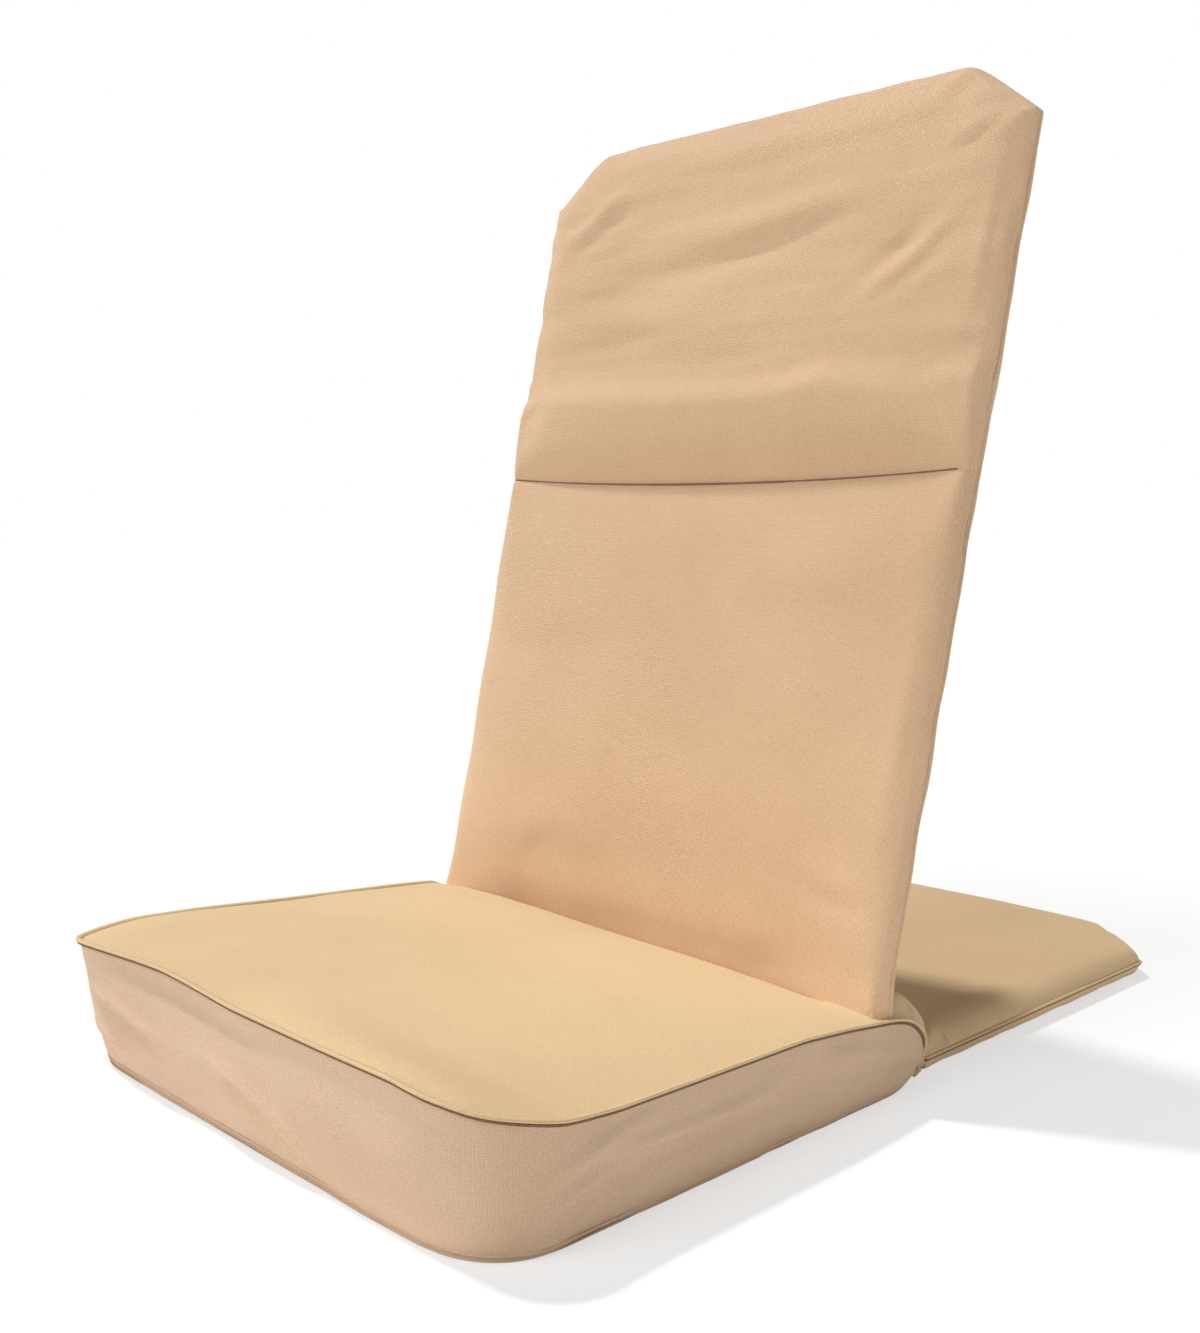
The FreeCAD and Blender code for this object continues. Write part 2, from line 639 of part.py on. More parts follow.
# Places along the cushion, each with its share of the length, of the front or rear height that
# the seam has there beside the middle height, of the crown, and of the draw of the sides
FRONT_PLACE = (0.12, 0.55, 0.7, 0.4)
MIDDLE_PLACE = 0.5
END_CROWN = 0.2
REAR_PLACE = (0.82, 0.6, 0.85, 0.7)


def seat_section(y, seam, crown, draw, inset, low):
    """Cross section of the cushion: flat foot, bulged sides and a crowned top."""
    foot = size("seat_foot_half_width") - draw - inset
    side = size("seat_half_width") - draw - inset
    bulge = (foot + side) / 2 + size("seat_side_bulge")
    high = seam - inset
    return wire_of([
        line((-foot, y, low), (foot, y, low)),
        arc((foot, y, low), (bulge, y, (low + high) * BULGE_PLACE), (side, y, high)),
        arc((side, y, high), (0, y, high + crown), (-side, y, high)),
        arc((-side, y, high), (-bulge, y, (low + high) * BULGE_PLACE), (-foot, y, low)),
    ])


def panel_face_y(height, clearance):
    """Y of the backrest's front face at a height, with a clearance in front of it."""
    angle = math.radians(size("recline"))
    depth = size("back_edge_depth") + size("back_crown_low") + clearance
    rise = height - size("pivot_height")
    return -size("pivot_setback") + rise * math.tan(angle) - depth / math.cos(angle)


def seat_stations():
    """Places along the cushion: Y, seam height, crown and how far the sides pull in."""
    rear = -size("pivot_setback") + size("back_edge_depth")
    length = rear - SEAT_FRONT
    crown = size("seat_crown")
    front_height = size("seat_front_height")
    middle_height = size("seat_mid_height")
    rear_height = size("seat_rear_height")
    draw = size("seat_draw")
    near, near_share, near_crown, near_draw = FRONT_PLACE
    far, far_share, far_crown, far_draw = REAR_PLACE
    near_height = near_share * front_height + (1 - near_share) * middle_height
    far_height = far_share * rear_height + (1 - far_share) * middle_height
    return (
        (SEAT_FRONT - BEYOND / 2, front_height + size("soft_gap"), END_CROWN * crown, 0.0),
        (SEAT_FRONT + near * length, near_height, near_crown * crown, near_draw * draw),
        (SEAT_FRONT + MIDDLE_PLACE * length, middle_height, crown, draw),
        (SEAT_FRONT + far * length, far_height, far_crown * crown, far_draw * draw),
        (rear, rear_height, crown / 2, draw / 3),
    )


def seat_plan(inset, front, rear, half_width, front_corner, rear_corner):
    """Plan outline with rounded corners and a slightly bowed front."""
    left = -half_width + inset
    right = half_width - inset
    bow = size("seat_front_bow")
    points = ((right, rear - inset, 0), (left, rear - inset, 0), (left, front + inset + bow, 0),
              (0, front + inset - bow, 0), (right, front + inset + bow, 0))
    front_round = front_corner - inset
    rear_round = rear_corner - inset
    return rounded_outline(points, (rear_round, rear_round, front_round, 8 * half_width, front_round))


def hinge_profile(inset, low, x):
    """Side outline of the loose cloth round the hinge, in a plane across the chair."""
    y0 = -size("pivot_setback")
    z0 = size("pivot_height")
    radius = size("nose_radius") - inset
    top = (x, y0, z0 + radius)
    halfway = (math.radians(90) - math.radians(size("nose_dip"))) / 2
    nose = (x, y0 - radius * math.cos(halfway), z0 + radius * math.sin(halfway))
    dip = math.radians(size("nose_dip"))
    front_end = (x, y0 - radius * math.cos(dip), z0 - radius * math.sin(dip))
    front_low = (x, panel_face_y(size("nose_low"), 0) + inset, size("nose_low"))
    front_foot = (x, panel_face_y(low, 0) + inset, low)
    knee = (x, -size("knee_setback") - 0.6 * inset, size("knee_height") - inset)
    over_pad = amount(PAD_TOP) + size("soft_gap") + inset
    tail = (x, size("tail_reach") - inset, size("tail_height") - 0.5 * inset)
    tuck = (x, size("tail_reach") - size("tail_roll") - inset, over_pad)
    pinch = (x, size("pinch_reach") - inset, over_pad)
    foot = (x, size("pinch_reach") - inset, low)
    return wire_of([
        arc(top, nose, front_end),
        line(front_end, front_low),
        line(front_low, front_foot),
        line(front_foot, foot),
        line(foot, pinch),
        line(pinch, tuck),
        line(tuck, tail),
        line(tail, knee),
        line(knee, top),
    ])


def hinge_form(inset, low):
    """The loose cloth round the hinge, as a full solid, rounded at its rear corners."""
    half = size("hinge_half_width") - inset
    wide = prism(hinge_profile(inset, low, -half), (2 * half, 0, 0))
    plan = rounded_outline(
        ((half, size("tail_reach") - inset, 0), (-half, size("tail_reach") - inset, 0),
         (-half, -3 * size("pivot_setback"), 0), (half, -3 * size("pivot_setback"), 0)),
        (size("hinge_corner") - inset, size("hinge_corner") - inset, 0, 0))
    plan.translate(FreeCAD.Vector(0, 0, -BEYOND))
    return wide.common(prism(plan, (0, 0, 3 * BEYOND)))


def seat_form(inset, low, gap):
    """The cushion ahead of the backrest, less the room for the loose cloth."""
    sections = [seat_section(*station, inset, low) for station in seat_stations()]
    loft = Part.makeLoft(sections, True, False)
    plan = seat_plan(inset, SEAT_FRONT, BEYOND, size("seat_half_width") + size("seat_side_bulge"),
                     size("seat_corner"), 2.0 + inset)
    plan.translate(FreeCAD.Vector(0, 0, -BEYOND))
    form = loft.common(prism(plan, (0, 0, 4 * BEYOND)))
    limit = 4 * size("seat_front_height")
    behind = Part.Face(Part.makePolygon([
        FreeCAD.Vector(-5 * BEYOND, panel_face_y(-limit, gap), -limit),
        FreeCAD.Vector(-5 * BEYOND, panel_face_y(limit, gap), limit),
        FreeCAD.Vector(-5 * BEYOND, limit, limit),
        FreeCAD.Vector(-5 * BEYOND, limit, -limit),
        FreeCAD.Vector(-5 * BEYOND, panel_face_y(-limit, gap), -limit),
    ])).extrude(FreeCAD.Vector(10 * BEYOND, 0, 0))
    form = form.cut(behind)
    return form.cut(hinge_form(-size("soft_gap"), -2 * BEYOND))


cloth = size("cloth")
gap = size("soft_gap")
span = size("tube_offset")
loop_height = amount(LOOP_HEIGHT)
loop_top = loop_height + size("loop_radius")

seat_outer = seat_form(0.0, 0.0, gap)
seat_inner = seat_form(cloth, -cloth, gap + cloth)
seat_shell = seat_outer.cut(seat_inner)
seam_line = [FreeCAD.Vector(-5 * BEYOND, y, seam) for y, seam, crown, draw in seat_stations()]
above = [FreeCAD.Vector(-5 * BEYOND, point.y, 3 * size("seat_front_height")) for point in reversed(seam_line)]
over_seam = Part.Face(Part.makePolygon(seam_line + above + seam_line[:1]))
over_seam = over_seam.extrude(FreeCAD.Vector(10 * BEYOND, 0, 0))
off_floor = slab((-5 * BEYOND, -10 * BEYOND, cloth), (5 * BEYOND, 10 * BEYOND, 10 * BEYOND))

passage_end = amount(PAD_FRONT) + 3 * cloth
loop_passage = [
    Part.makeCylinder(size("loop_radius") + 2 * gap, passage_end + 2 * BEYOND,
                      FreeCAD.Vector(side * span, -2 * BEYOND, loop_height), FreeCAD.Vector(0, 1, 0))
    for side in (-1, 1)
]
seat_band = seat_shell.cut(over_seam).common(off_floor)
for tool in loop_passage:
    seat_band = seat_band.cut(tool)
soft_piece("seat_cover_top", seat_shell.common(over_seam))
soft_piece("seat_cover_band", seat_band)

foot_plan = seat_plan(0.0, SEAT_FRONT, size("pinch_reach"), size("seat_foot_half_width"),
                      size("seat_corner"), size("hinge_corner"))
soft_piece("seat_cover_bottom", prism(foot_plan, (0, 0, cloth)))


def frame_room(gap_round):
    """Space that the loop and the cross tube need inside the foam."""
    reach = size("loop_radius") + gap_round
    front = amount(LOOP_FRONT) + reach
    near = span - reach
    top = loop_top + gap_round
    bend = size("loop_bend") - reach
    inside = rounded_outline(((near, 2 * BEYOND, 0), (-near, 2 * BEYOND, 0), (-near, front, 0), (near, front, 0)),
                             (0, 0, bend, bend))
    room = slab((-5 * BEYOND, -10 * BEYOND, 0), (5 * BEYOND, BEYOND, top)).cut(prism(inside, (0, 0, top)))
    cross = -size("cross_setback")
    cross_reach = size("back_radius") + gap_round
    return room.fuse(slab((-span, cross - cross_reach, 0), (span, cross + cross_reach, top)))


def hinge_pocket():
    """Space round each bracket, open to the side of the cushion."""
    low = span - size("pocket_inset")
    pocket = slab((low, -size("pocket_front"), 0), (span + BEYOND, BEYOND, 3 * BEYOND))
    return pocket.fuse(slab((-span - BEYOND, -size("pocket_front"), 0), (-low, BEYOND, 3 * BEYOND)))


foam_inset = cloth + gap
seat_foam = seat_form(foam_inset, foam_inset, gap + foam_inset).cut(frame_room(gap)).cut(hinge_pocket())
soft_piece("seat_foam", seat_foam)

slot_half = size("back_radius") + size("ear_gap")
slot_rear = panel_face_y(size("pivot_height") + size("nose_radius"), 0)
slot_rear += size("back_edge_depth") + size("back_crown_low") + size("back_radius") + size("ear_gap")
leg_slot = [
    slab((side * span - slot_half, -2 * BEYOND, size("nose_low")), (side * span + slot_half, slot_rear, 3 * BEYOND))
    for side in (-1, 1)
]
hinge_shell = hinge_form(0.0, 0.0).cut(hinge_form(cloth, -cloth)).common(off_floor)
for tool in loop_passage + leg_slot:
    hinge_shell = hinge_shell.cut(tool)
soft_piece("hinge_cover", hinge_shell)

hinge_filler = hinge_form(foam_inset, foam_inset).cut(frame_room(gap)).cut(hinge_pocket())
soft_piece("hinge_filler", hinge_filler)


# The rear pad: a thin pad whose rim stands over the loop and whose middle sags

def pad_outline(inset, height):
    """Outline of the rear pad with its two cut corners."""
    half = amount("tube_offset + loop_radius + soft_gap + cloth") - inset
    rear = size("pad_reach") - inset
    front = amount(PAD_FRONT) + inset
    across = size("pad_chamfer_x")
    lengthwise = size("pad_chamfer_y")
    bend = size("loop_bend") + size("loop_radius") - inset
    points = ((half, front, height), (half, rear - lengthwise, height), (half - across, rear, height),
              (across - half, rear, height), (-half, rear - lengthwise, height), (-half, front, height))
    return rounded_outline(points, (0, bend, bend, bend, bend, 0))


def pad_form(inset):
    """The rear pad as a full solid: soft edges all round and a shallow dish on top."""
    low = inset
    high = amount(PAD_TOP) - inset
    body = prism(pad_outline(inset, low), (0, 0, high - low))
    soften = 0.42 * (high - low)
    rims = [edge for edge in body.Edges
            if abs(edge.BoundBox.ZLength) < 0.01 and edge.BoundBox.YMax > amount(PAD_FRONT) + inset + 1]
    body = body.makeFillet(soften, rims)
    rim = size("pad_ridge")
    sag = size("pad_sag")
    inner = pad_outline(rim, high + 0.2)
    deep = pad_outline(rim + 4 * sag, high - sag)
    dish = Part.makeLoft([inner, deep], True, True)
    return body.cut(dish)


pad_outer = pad_form(0.0)
pad_shell = pad_outer.cut(pad_form(cloth))
for tool in loop_passage:
    pad_shell = pad_shell.cut(tool)
under_middle = slab((-5 * BEYOND, 0, 0), (5 * BEYOND, 10 * BEYOND, loop_height))
soft_piece("pad_cover_top", pad_shell.cut(under_middle))
soft_piece("pad_cover_bottom", pad_shell.common(under_middle))

inside_loop = prism(pad_outline(foam_inset + 2 * size("loop_radius") + gap + cloth, 0), (0, 0, BEYOND))
soft_piece("pad_foam", pad_form(foam_inset).common(inside_loop))


# The backrest's padded cover, drawn upright about the hinge axis

# Places along each pad, as shares of its length, with the share of the crown that it has there
LOWER_PLACES = ((0.12, 0.9), (0.5, 1.0), (0.9, 0.8))
UPPER_PLACES = ((0.12, 0.8), (0.5, 1.0), (0.95, 0.7))
FOOT_CROWN = 0.3
TOP_CROWN = 0.2
SEAM_CROWN = 0.4


def back_section(rise, depth, crown, inset):
    """Cross section of the backrest: flat rear, rolled sides and a crowned front."""
    rear = amount("back_radius + soft_gap + cloth") - inset
    front = inset - depth
    roll = size("back_half_width") - inset
    side = size("back_half_width") - size("back_side_roll") - inset / 2
    middle = (front + rear) / 2
    return wire_of([
        line((-side, rear, rise), (side, rear, rise)),
        arc((side, rear, rise), (roll, middle, rise), (side, front, rise)),
        arc((side, front, rise), (0, front - crown, rise), (-side, front, rise)),
        arc((-side, front, rise), (-roll, middle, rise), (-side, rear, rise)),
    ])


def back_pad_form(inset, lower):
    """One of the backrest's two pads, drawn in where the seam crosses the panel."""
    edge = size("back_edge_depth")
    shallow = amount("back_radius + soft_gap + cloth")
    if lower:
        start = size("back_start") + inset
        end = size("seam_rise")
        crown = size("back_crown_low")
        places = LOWER_PLACES
        first_crown = FOOT_CROWN * crown
        last_crown = SEAM_CROWN
    else:
        start = size("seam_rise")
        end = size("back_top") - inset
        crown = size("back_crown_high")
        places = UPPER_PLACES
        first_crown = SEAM_CROWN
        last_crown = TOP_CROWN * crown
    sections = [back_section(start, shallow, first_crown, inset)]
    for place, share in places:
        sections.append(back_section(start + place * (end - start), edge, share * crown, inset))
    sections.append(back_section(end, shallow, last_crown, inset))
    return Part.makeLoft(sections, True, False)


def back_form(inset, lower):
    """A pad of the backrest, trimmed to the panel's outline with its cut corners."""
    half = size("back_half_width") - inset
    top = size("back_top") - inset
    across = size("back_chamfer_x")
    along = size("back_chamfer_z")
    depth = 3 * size("back_edge_depth")
    bend = size("back_bend") + size("back_radius") - inset
    points = ((half, -depth, 0), (half, -depth, top - along), (half - across, -depth, top),
              (across - half, -depth, top), (-half, -depth, top - along), (-half, -depth, 0))
    outline = rounded_outline(points, (0, bend, bend, bend, bend, 0))
    return back_pad_form(inset, lower).common(prism(outline, (0, 2 * depth, 0)))


leg_passage = [
    Part.makeCylinder(size("back_radius") + gap, 2 * BEYOND, FreeCAD.Vector(side * span, 0, -BEYOND))
    for side in (-1, 1)
]
rear_face = amount("back_radius")
behind_frame = slab((-5 * BEYOND, rear_face, -BEYOND), (5 * BEYOND, BEYOND, 20 * BEYOND))
rear_panels = []
for label, lower in (("back_cover_lower", True), ("back_cover_upper", False)):
    shell = back_form(0.0, lower)
    hollow = back_pad_form(cloth, lower)
    hollow = hollow.common(back_form(cloth, lower))
    shell = shell.cut(hollow)
    for tool in leg_passage:
        shell = shell.cut(tool)
    soft_piece(label, shell.cut(behind_frame), leaning=True)
    rear_panels.append(shell.common(behind_frame))
soft_piece("back_cover_rear", rear_panels[0].fuse(rear_panels[1]).removeSplitter(), leaning=True)

foam_half = span - size("back_radius") - gap
cross_top = amount("cross_rise + back_radius + soft_gap")
top_inside = amount(BACK_TOP_AXIS + " - back_radius - soft_gap")
between_low = slab((-foam_half, -BEYOND, cross_top), (foam_half, BEYOND, size("seam_rise") - gap))
between_high = slab((-foam_half, -BEYOND, size("seam_rise") + gap), (foam_half, BEYOND, top_inside))
corner = amount("tube_offset") - size("back_radius") - gap
chamfer_points = ((corner, -BEYOND, 0), (corner, -BEYOND, top_inside - size("back_chamfer_z")),
                  (corner - size("back_chamfer_x"), -BEYOND, top_inside),
                  (size("back_chamfer_x") - corner, -BEYOND, top_inside),
                  (-corner, -BEYOND, top_inside - size("back_chamfer_z")), (-corner, -BEYOND, 0))
inside_corner = size("back_bend") - size("back_radius")
inside_frame = prism(rounded_outline(chamfer_points, (0, inside_corner, inside_corner,
                                                      inside_corner, inside_corner, 0)), (0, 2 * BEYOND, 0))
soft_piece("back_foam_lower", back_form(foam_inset, True).common(between_low), leaning=True)
soft_piece("back_foam_upper", back_form(foam_inset, False).common(between_high).common(inside_frame),
           leaning=True)


NODES = (
    "base_front_tube", "base_rear_tube", "tube_joint_sleeves", "base_cross_tube",
    "pivot_bracket_right", "pivot_bracket_left", "bracket_rivets", "pivot_bolts", "pivot_nuts",
    "pivot_washers", "seat_foam", "seat_cover_top", "seat_cover_band", "seat_cover_bottom",
    "hinge_cover", "hinge_filler", "pad_foam", "pad_cover_top", "pad_cover_bottom",
    "back_tube", "back_lower_tube", "leg_bushings", "leg_plugs",
    "back_foam_lower", "back_foam_upper", "back_cover_lower", "back_cover_upper", "back_cover_rear",
)

doc.recompute()
faults = []
for item in doc.Objects:
    if "Invalid" in item.State or "Error" in item.State:
        faults.append("%s is %s" % (item.Label, item.State))
pieces = {}
for name in NODES:
    item = doc.getObject(name)
    shape = item.Shape
    if shape.isNull() or not shape.isValid() or not shape.Solids:
        faults.append("%s has no sound solid" % name)
        continue
    pieces[name] = shape
if faults:
    raise SystemExit("\n".join(faults))

os.makedirs("parts", exist_ok=True)
whole = FreeCAD.BoundBox()
for name, shape in pieces.items():
    shape.exportStep(os.path.join("parts", name + ".step"))
    whole.add(shape.BoundBox)
    print("%-22s %d solid(s) %9.1f mm3" % (name, len(shape.Solids), shape.Volume))
print("overall %.1f x %.1f x %.1f mm" % (whole.XLength, whole.YLength, whole.ZLength))
print("from", whole.XMin, whole.YMin, whole.ZMin)
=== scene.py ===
"""Folding floor chair: canvas covers, finishes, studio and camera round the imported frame.

Shapes are worked out in millimetres, in the row frame: X across the chair, the chair faces -Y,
Z up, origin on the floor. The near side is the camera's, at +X, and the far side is at -X.
Each cover is a closed grid of points. It swells in a short cloth simulation, and folds, ripples
and seams are laid on afterwards.
"""

import math

import bpy
import numpy as np
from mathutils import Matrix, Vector, noise


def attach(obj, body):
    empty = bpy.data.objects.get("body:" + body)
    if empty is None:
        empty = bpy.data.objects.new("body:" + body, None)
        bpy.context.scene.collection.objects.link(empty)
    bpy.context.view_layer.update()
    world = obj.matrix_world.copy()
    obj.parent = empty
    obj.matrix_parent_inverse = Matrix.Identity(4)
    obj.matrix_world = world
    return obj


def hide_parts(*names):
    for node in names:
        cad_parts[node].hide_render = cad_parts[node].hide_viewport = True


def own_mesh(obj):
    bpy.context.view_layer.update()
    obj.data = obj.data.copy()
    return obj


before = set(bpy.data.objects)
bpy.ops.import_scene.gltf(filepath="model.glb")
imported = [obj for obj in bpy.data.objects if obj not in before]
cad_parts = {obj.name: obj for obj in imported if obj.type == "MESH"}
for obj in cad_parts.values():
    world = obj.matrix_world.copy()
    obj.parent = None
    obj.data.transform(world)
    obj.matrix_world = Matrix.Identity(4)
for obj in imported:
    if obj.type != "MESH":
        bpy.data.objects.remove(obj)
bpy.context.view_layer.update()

MM = 0.001  # the frame and the meshes are in metres

# Backrest, in its own plane: x across, u up the panel from the hinge axis, w out of its front.
PIVOT_Y = -48.5
PIVOT_Z = 54
RECLINE = math.radians(12.8)
BACK_HALF = 216.5
BACK_START = -4
BACK_TOP = 623.5
BACK_CUT_X = 50
BACK_CUT_U = 38
BACK_FRONT = 11.4
BACK_REAR = 9.8
BACK_SEAM = 349.5
BACK_SEAM_RISE = 6.5
BACK_EDGE_ROLL = 6.5
BACK_FOOT_ROLL = 4
BACK_FOOT_TUCK = 8.5
BACK_REAR_ROLL = 5
BACK_HOLLOW = 2.2
SEAM_BOW_REACH = 60

# Cushion
SEAT_FRONT = -390
SEAT_REAR = -66
SEAT_SEAM_HALF = 222.5
SEAT_FOOT_HALF = 219
SEAT_BULGE = 2.5
SEAT_CROWN = 6
NEAR_CORNER = 48
FAR_CORNER = 18

# Rear pad
PAD_FRONT = 13
PAD_REAR = 390
PAD_HALF = 212.3
PAD_CUT_X = 62
PAD_CUT_Y = 60
PAD_HEIGHT = 22.6
PAD_SEAM_HEIGHT = 11
PAD_ROLL = 9.5
PAD_FOOT_ROLL = 7
PAD_CLEAR = 0.2
PAD_SEAM_GAP = 1
PAD_SAG = 4
# How far inside the outline the sag starts and has its full depth
PAD_SAG_SPAN = (16.5, 45)

# Loose cloth over the hinge
HINGE_HALF = 218.5
FLOOR_CLEAR = 0.4

# Steps of the covers' grids: one pitch apart, and closer together at the edges
PITCH = 7
FINE = (0, 0.6, 1.8, 3.8, 6.6, 10.5)

# How the cloth settles
SETTLE_FRAMES = 14
CLOTH = {
    "use_pressure": True,
    "quality": 4,
    "tension_stiffness": 20,
    "compression_stiffness": 20,
    "bending_stiffness": 0.6,
}


def smooth(start, end, value):
    """0 before start, 1 after end, and a smooth rise between them."""
    share = np.clip((np.asarray(value, float) - start) / (end - start), 0.0, 1.0)
    return share * share * (3.0 - 2.0 * share)


def roll(distance, radius):
    """How far a rounded edge falls away at a distance inside it."""
    share = np.clip(1.0 - distance / radius, 0.0, 1.0)
    return radius * (1.0 - np.sqrt(1.0 - share**2))


def spread(low, high, pitch, fine):
    """Places from low to high, a pitch apart, with finer steps at both ends."""
    count = max(2, round((high - low - 2 * fine[-1]) / pitch))
    middle = np.linspace(low + fine[-1], high - fine[-1], count + 1)
    start = [low + step for step in fine[:-1]]
    end = [high - step for step in reversed(fine[:-1])]
    return np.array(start + list(middle) + end)


def cut_off(x, half, cut_x, cut_y):
    """How much of a panel's length is cut off at a place across it, at its corners."""
    return cut_y * np.clip((np.abs(x) - half + cut_x) / cut_x, 0.0, 1.0)


def edge_distance(x, y, half, end, cut_x, cut_y):
    """Distance inside a panel's outline at its sides, its cut corners and its end."""
    corner = (half - np.abs(x)) * cut_y + (end - cut_y - y) * cut_x
    return np.minimum.reduce([half - np.abs(x), end - y, corner / math.hypot(cut_x, cut_y)])


def resample(points, shares):
    """The places on a line at these shares of its length."""
    points = np.array(points, float)
    length = np.concatenate([[0.0], np.cumsum(np.linalg.norm(np.diff(points, axis=0), axis=1))])
    places = np.asarray(shares) * length[-1]
    return np.stack([np.interp(places, length, axis) for axis in points.T], 1)


def arc(centre_x, centre_y, radius, start, end, steps=16):
    """Points on an arc, with angles in degrees."""
    turns = np.radians(np.linspace(start, end, steps))
    return [(centre_x + radius * math.cos(t), centre_y + radius * math.sin(t)) for t in turns]


def coons(front, rear, left, right, s, t):
    """A grid of points between four edge lines that share their ends, at shares s and t."""
    s = s[:, None, None]
    t = t[None, :, None]
    across = (1 - t) * front[:, None, :] + t * rear[:, None, :]
    along = (1 - s) * left[None, :, :] + s * right[None, :, :]
    first = (1 - t) * front[0] + t * rear[0]
    last = (1 - t) * front[-1] + t * rear[-1]
    return across + along - ((1 - s) * first + s * last)


def edge_loop(columns, rows):
    """Grid places along the edge of a grid, once round."""
    loop = [(i, 0) for i in range(columns - 1)]
    loop += [(columns - 1, j) for j in range(rows - 1)]
    loop += [(i, rows - 1) for i in range(columns - 1, 0, -1)]
    loop += [(0, j) for j in range(rows - 1, 0, -1)]
    return loop


def along_loop(grid, loop):
    """The grid's values along a loop of its places."""
    return grid[tuple(np.transpose(loop))]


def pillow(name, upper, rings, lower):
    """A closed cloth form: two grids of points, joined at their edges by rings of points.

    Returns the object and the vertices of its lines: the upper edge, the rings, the lower edge.
    """
    columns, rows = upper.shape[:2]
    lines = [[i * rows + j for i, j in edge_loop(columns, rows)]]
    count = len(lines[0])
    points = [upper.reshape(-1, 3), lower.reshape(-1, 3)] + [np.array(ring) for ring in rings]
    size = columns * rows
    faces = []
    for i in range(columns - 1):
        for j in range(rows - 1):
            a, b = i * rows + j, (i + 1) * rows + j
            faces.append((a, b, b + 1, a + 1))
            faces.append((size + a, size + a + 1, size + b + 1, size + b))
    starts = [2 * size + number * count for number in range(len(rings))]
    lines += [list(range(start, start + count)) for start in starts]
    lines.append([size + place for place in lines[0]])
    for near, far in zip(lines, lines[1:]):
        for k in range(count):
            after = (k + 1) % count
            faces.append((near[k], far[k], far[after], near[after]))
    piece = cloth_object(name, np.concatenate(points), faces)
    seams = (lines[0], lines[-2])
    sharp = {frozenset(pair) for line in seams for pair in zip(line, line[1:] + line[:1])}
    creases = piece.data.attributes.new("crease_edge", "FLOAT", "EDGE").data
    for edge in piece.data.edges:
        if frozenset(edge.vertices) in sharp:
            creases[edge.index].value = 0.9
    return piece, lines


def place_object(name, data):
    """A new object in the scene."""
    thing = bpy.data.objects.new(name, data)
    bpy.context.scene.collection.objects.link(thing)
    return thing


def cloth_object(name, points, faces):
    """A smooth mesh object from points in millimetres."""
    mesh = bpy.data.meshes.new(name)
    mesh.from_pydata((np.asarray(points) * MM).tolist(), [], faces)
    mesh.validate()
    mesh.polygons.foreach_set("use_smooth", [True] * len(mesh.polygons))
    mesh.update()
    return place_object(name, mesh)


def read(items, name):
    """A vector of each item."""
    flat = np.empty(len(items) * 3)
    items.foreach_get(name, flat)
    return flat.reshape(-1, 3)


def points_of(piece):
    """The piece's points, in millimetres."""
    return read(piece.data.vertices, "co") / MM


def put_points(piece, points):
    """Gives the piece new points, in millimetres."""
    piece.data.vertices.foreach_set("co", (points * MM).ravel())
    piece.data.update()


def raise_points(piece, points, heights):
    """Moves the piece's points along their normals."""
    normals = read(piece.data.vertex_normals, "vector")
    put_points(piece, points + normals * heights[:, None])


def distance_to(points, line):
    """Each point's distance to a line of points, and how far along it lies, from 0 to 1."""
    line = np.array(line, float)
    lengths = np.linalg.norm(np.diff(line, axis=0), axis=1)
    best = np.full(len(points), np.inf)
    share = np.zeros(len(points))
    passed = 0.0
    for start, end, length in zip(line, line[1:], lengths):
        t = np.clip((points - start) @ (end - start) / length**2, 0.0, 1.0)
        gap = np.linalg.norm(points - start - t[:, None] * (end - start), axis=1)
        closer = gap < best
        best[closer] = gap[closer]
        share[closer] = (passed + t[closer] * length) / lengths.sum()
        passed += length
    return best, share


def fold(piece, line, height, width, taper=0.35):
    """Raises a fold in the cloth along a line, or presses one in where height is below 0."""
    points = points_of(piece)
    gap, share = distance_to(points, line)
    ends = smooth(0.0, taper, share) * smooth(0.0, taper, 1.0 - share)
    raise_points(piece, points, height * np.exp(-((gap / width) ** 2)) * ends)


def ripple(piece, height, size, seed, mask=None):
    """Uneven cloth: noise along the normals. Size is the size of a ripple on each axis."""
    points = points_of(piece)
    offset = Vector((seed, 2.0 * seed, 3.0 * seed))
    lift = np.array([noise.noise(Vector(p) + offset) for p in points / size]) * height
    if mask is not None:
        lift = lift * mask(points)
    raise_points(piece, points, lift)


def by_height(none, full):
    """A mask that rises from 0 to 1 between two heights."""
    return lambda points: smooth(none, full, points[:, 2])


def settle(piece, held, pressure, cap):
    """Lets the cloth swell between its seams, caps how far a point moves, and subdivides it."""
    start = points_of(piece)
    seams = piece.vertex_groups.new(name="seams")
    seams.add([int(i) for i in held], 1.0, "REPLACE")
    swell = piece.modifiers.new("swell", "CLOTH")
    swell.settings.vertex_group_mass = seams.name
    swell.settings.uniform_pressure_force = pressure
    for setting, value in CLOTH.items():
        setattr(swell.settings, setting, value)
    swell.settings.effector_weights.gravity = 0.0
    swell.point_cache.frame_start = 1
    swell.point_cache.frame_end = SETTLE_FRAMES
    for number in range(1, SETTLE_FRAMES + 1):
        bpy.context.scene.frame_set(number)
    shown = piece.evaluated_get(bpy.context.evaluated_depsgraph_get())
    move = read(shown.data.vertices, "co") / MM - start
    length = np.linalg.norm(move, axis=1)
    kept = cap * np.tanh(length / cap) / np.maximum(length, 1e-9)
    piece.modifiers.remove(swell)
    piece.vertex_groups.remove(seams)
    bpy.context.scene.frame_set(1)
    put_points(piece, start + move * kept[:, None])
    finer = piece.modifiers.new("finer", "SUBSURF")
    finer.levels = finer.render_levels = 1
    with bpy.context.temp_override(object=piece, active_object=piece):
        bpy.ops.object.modifier_apply(modifier=finer.name)


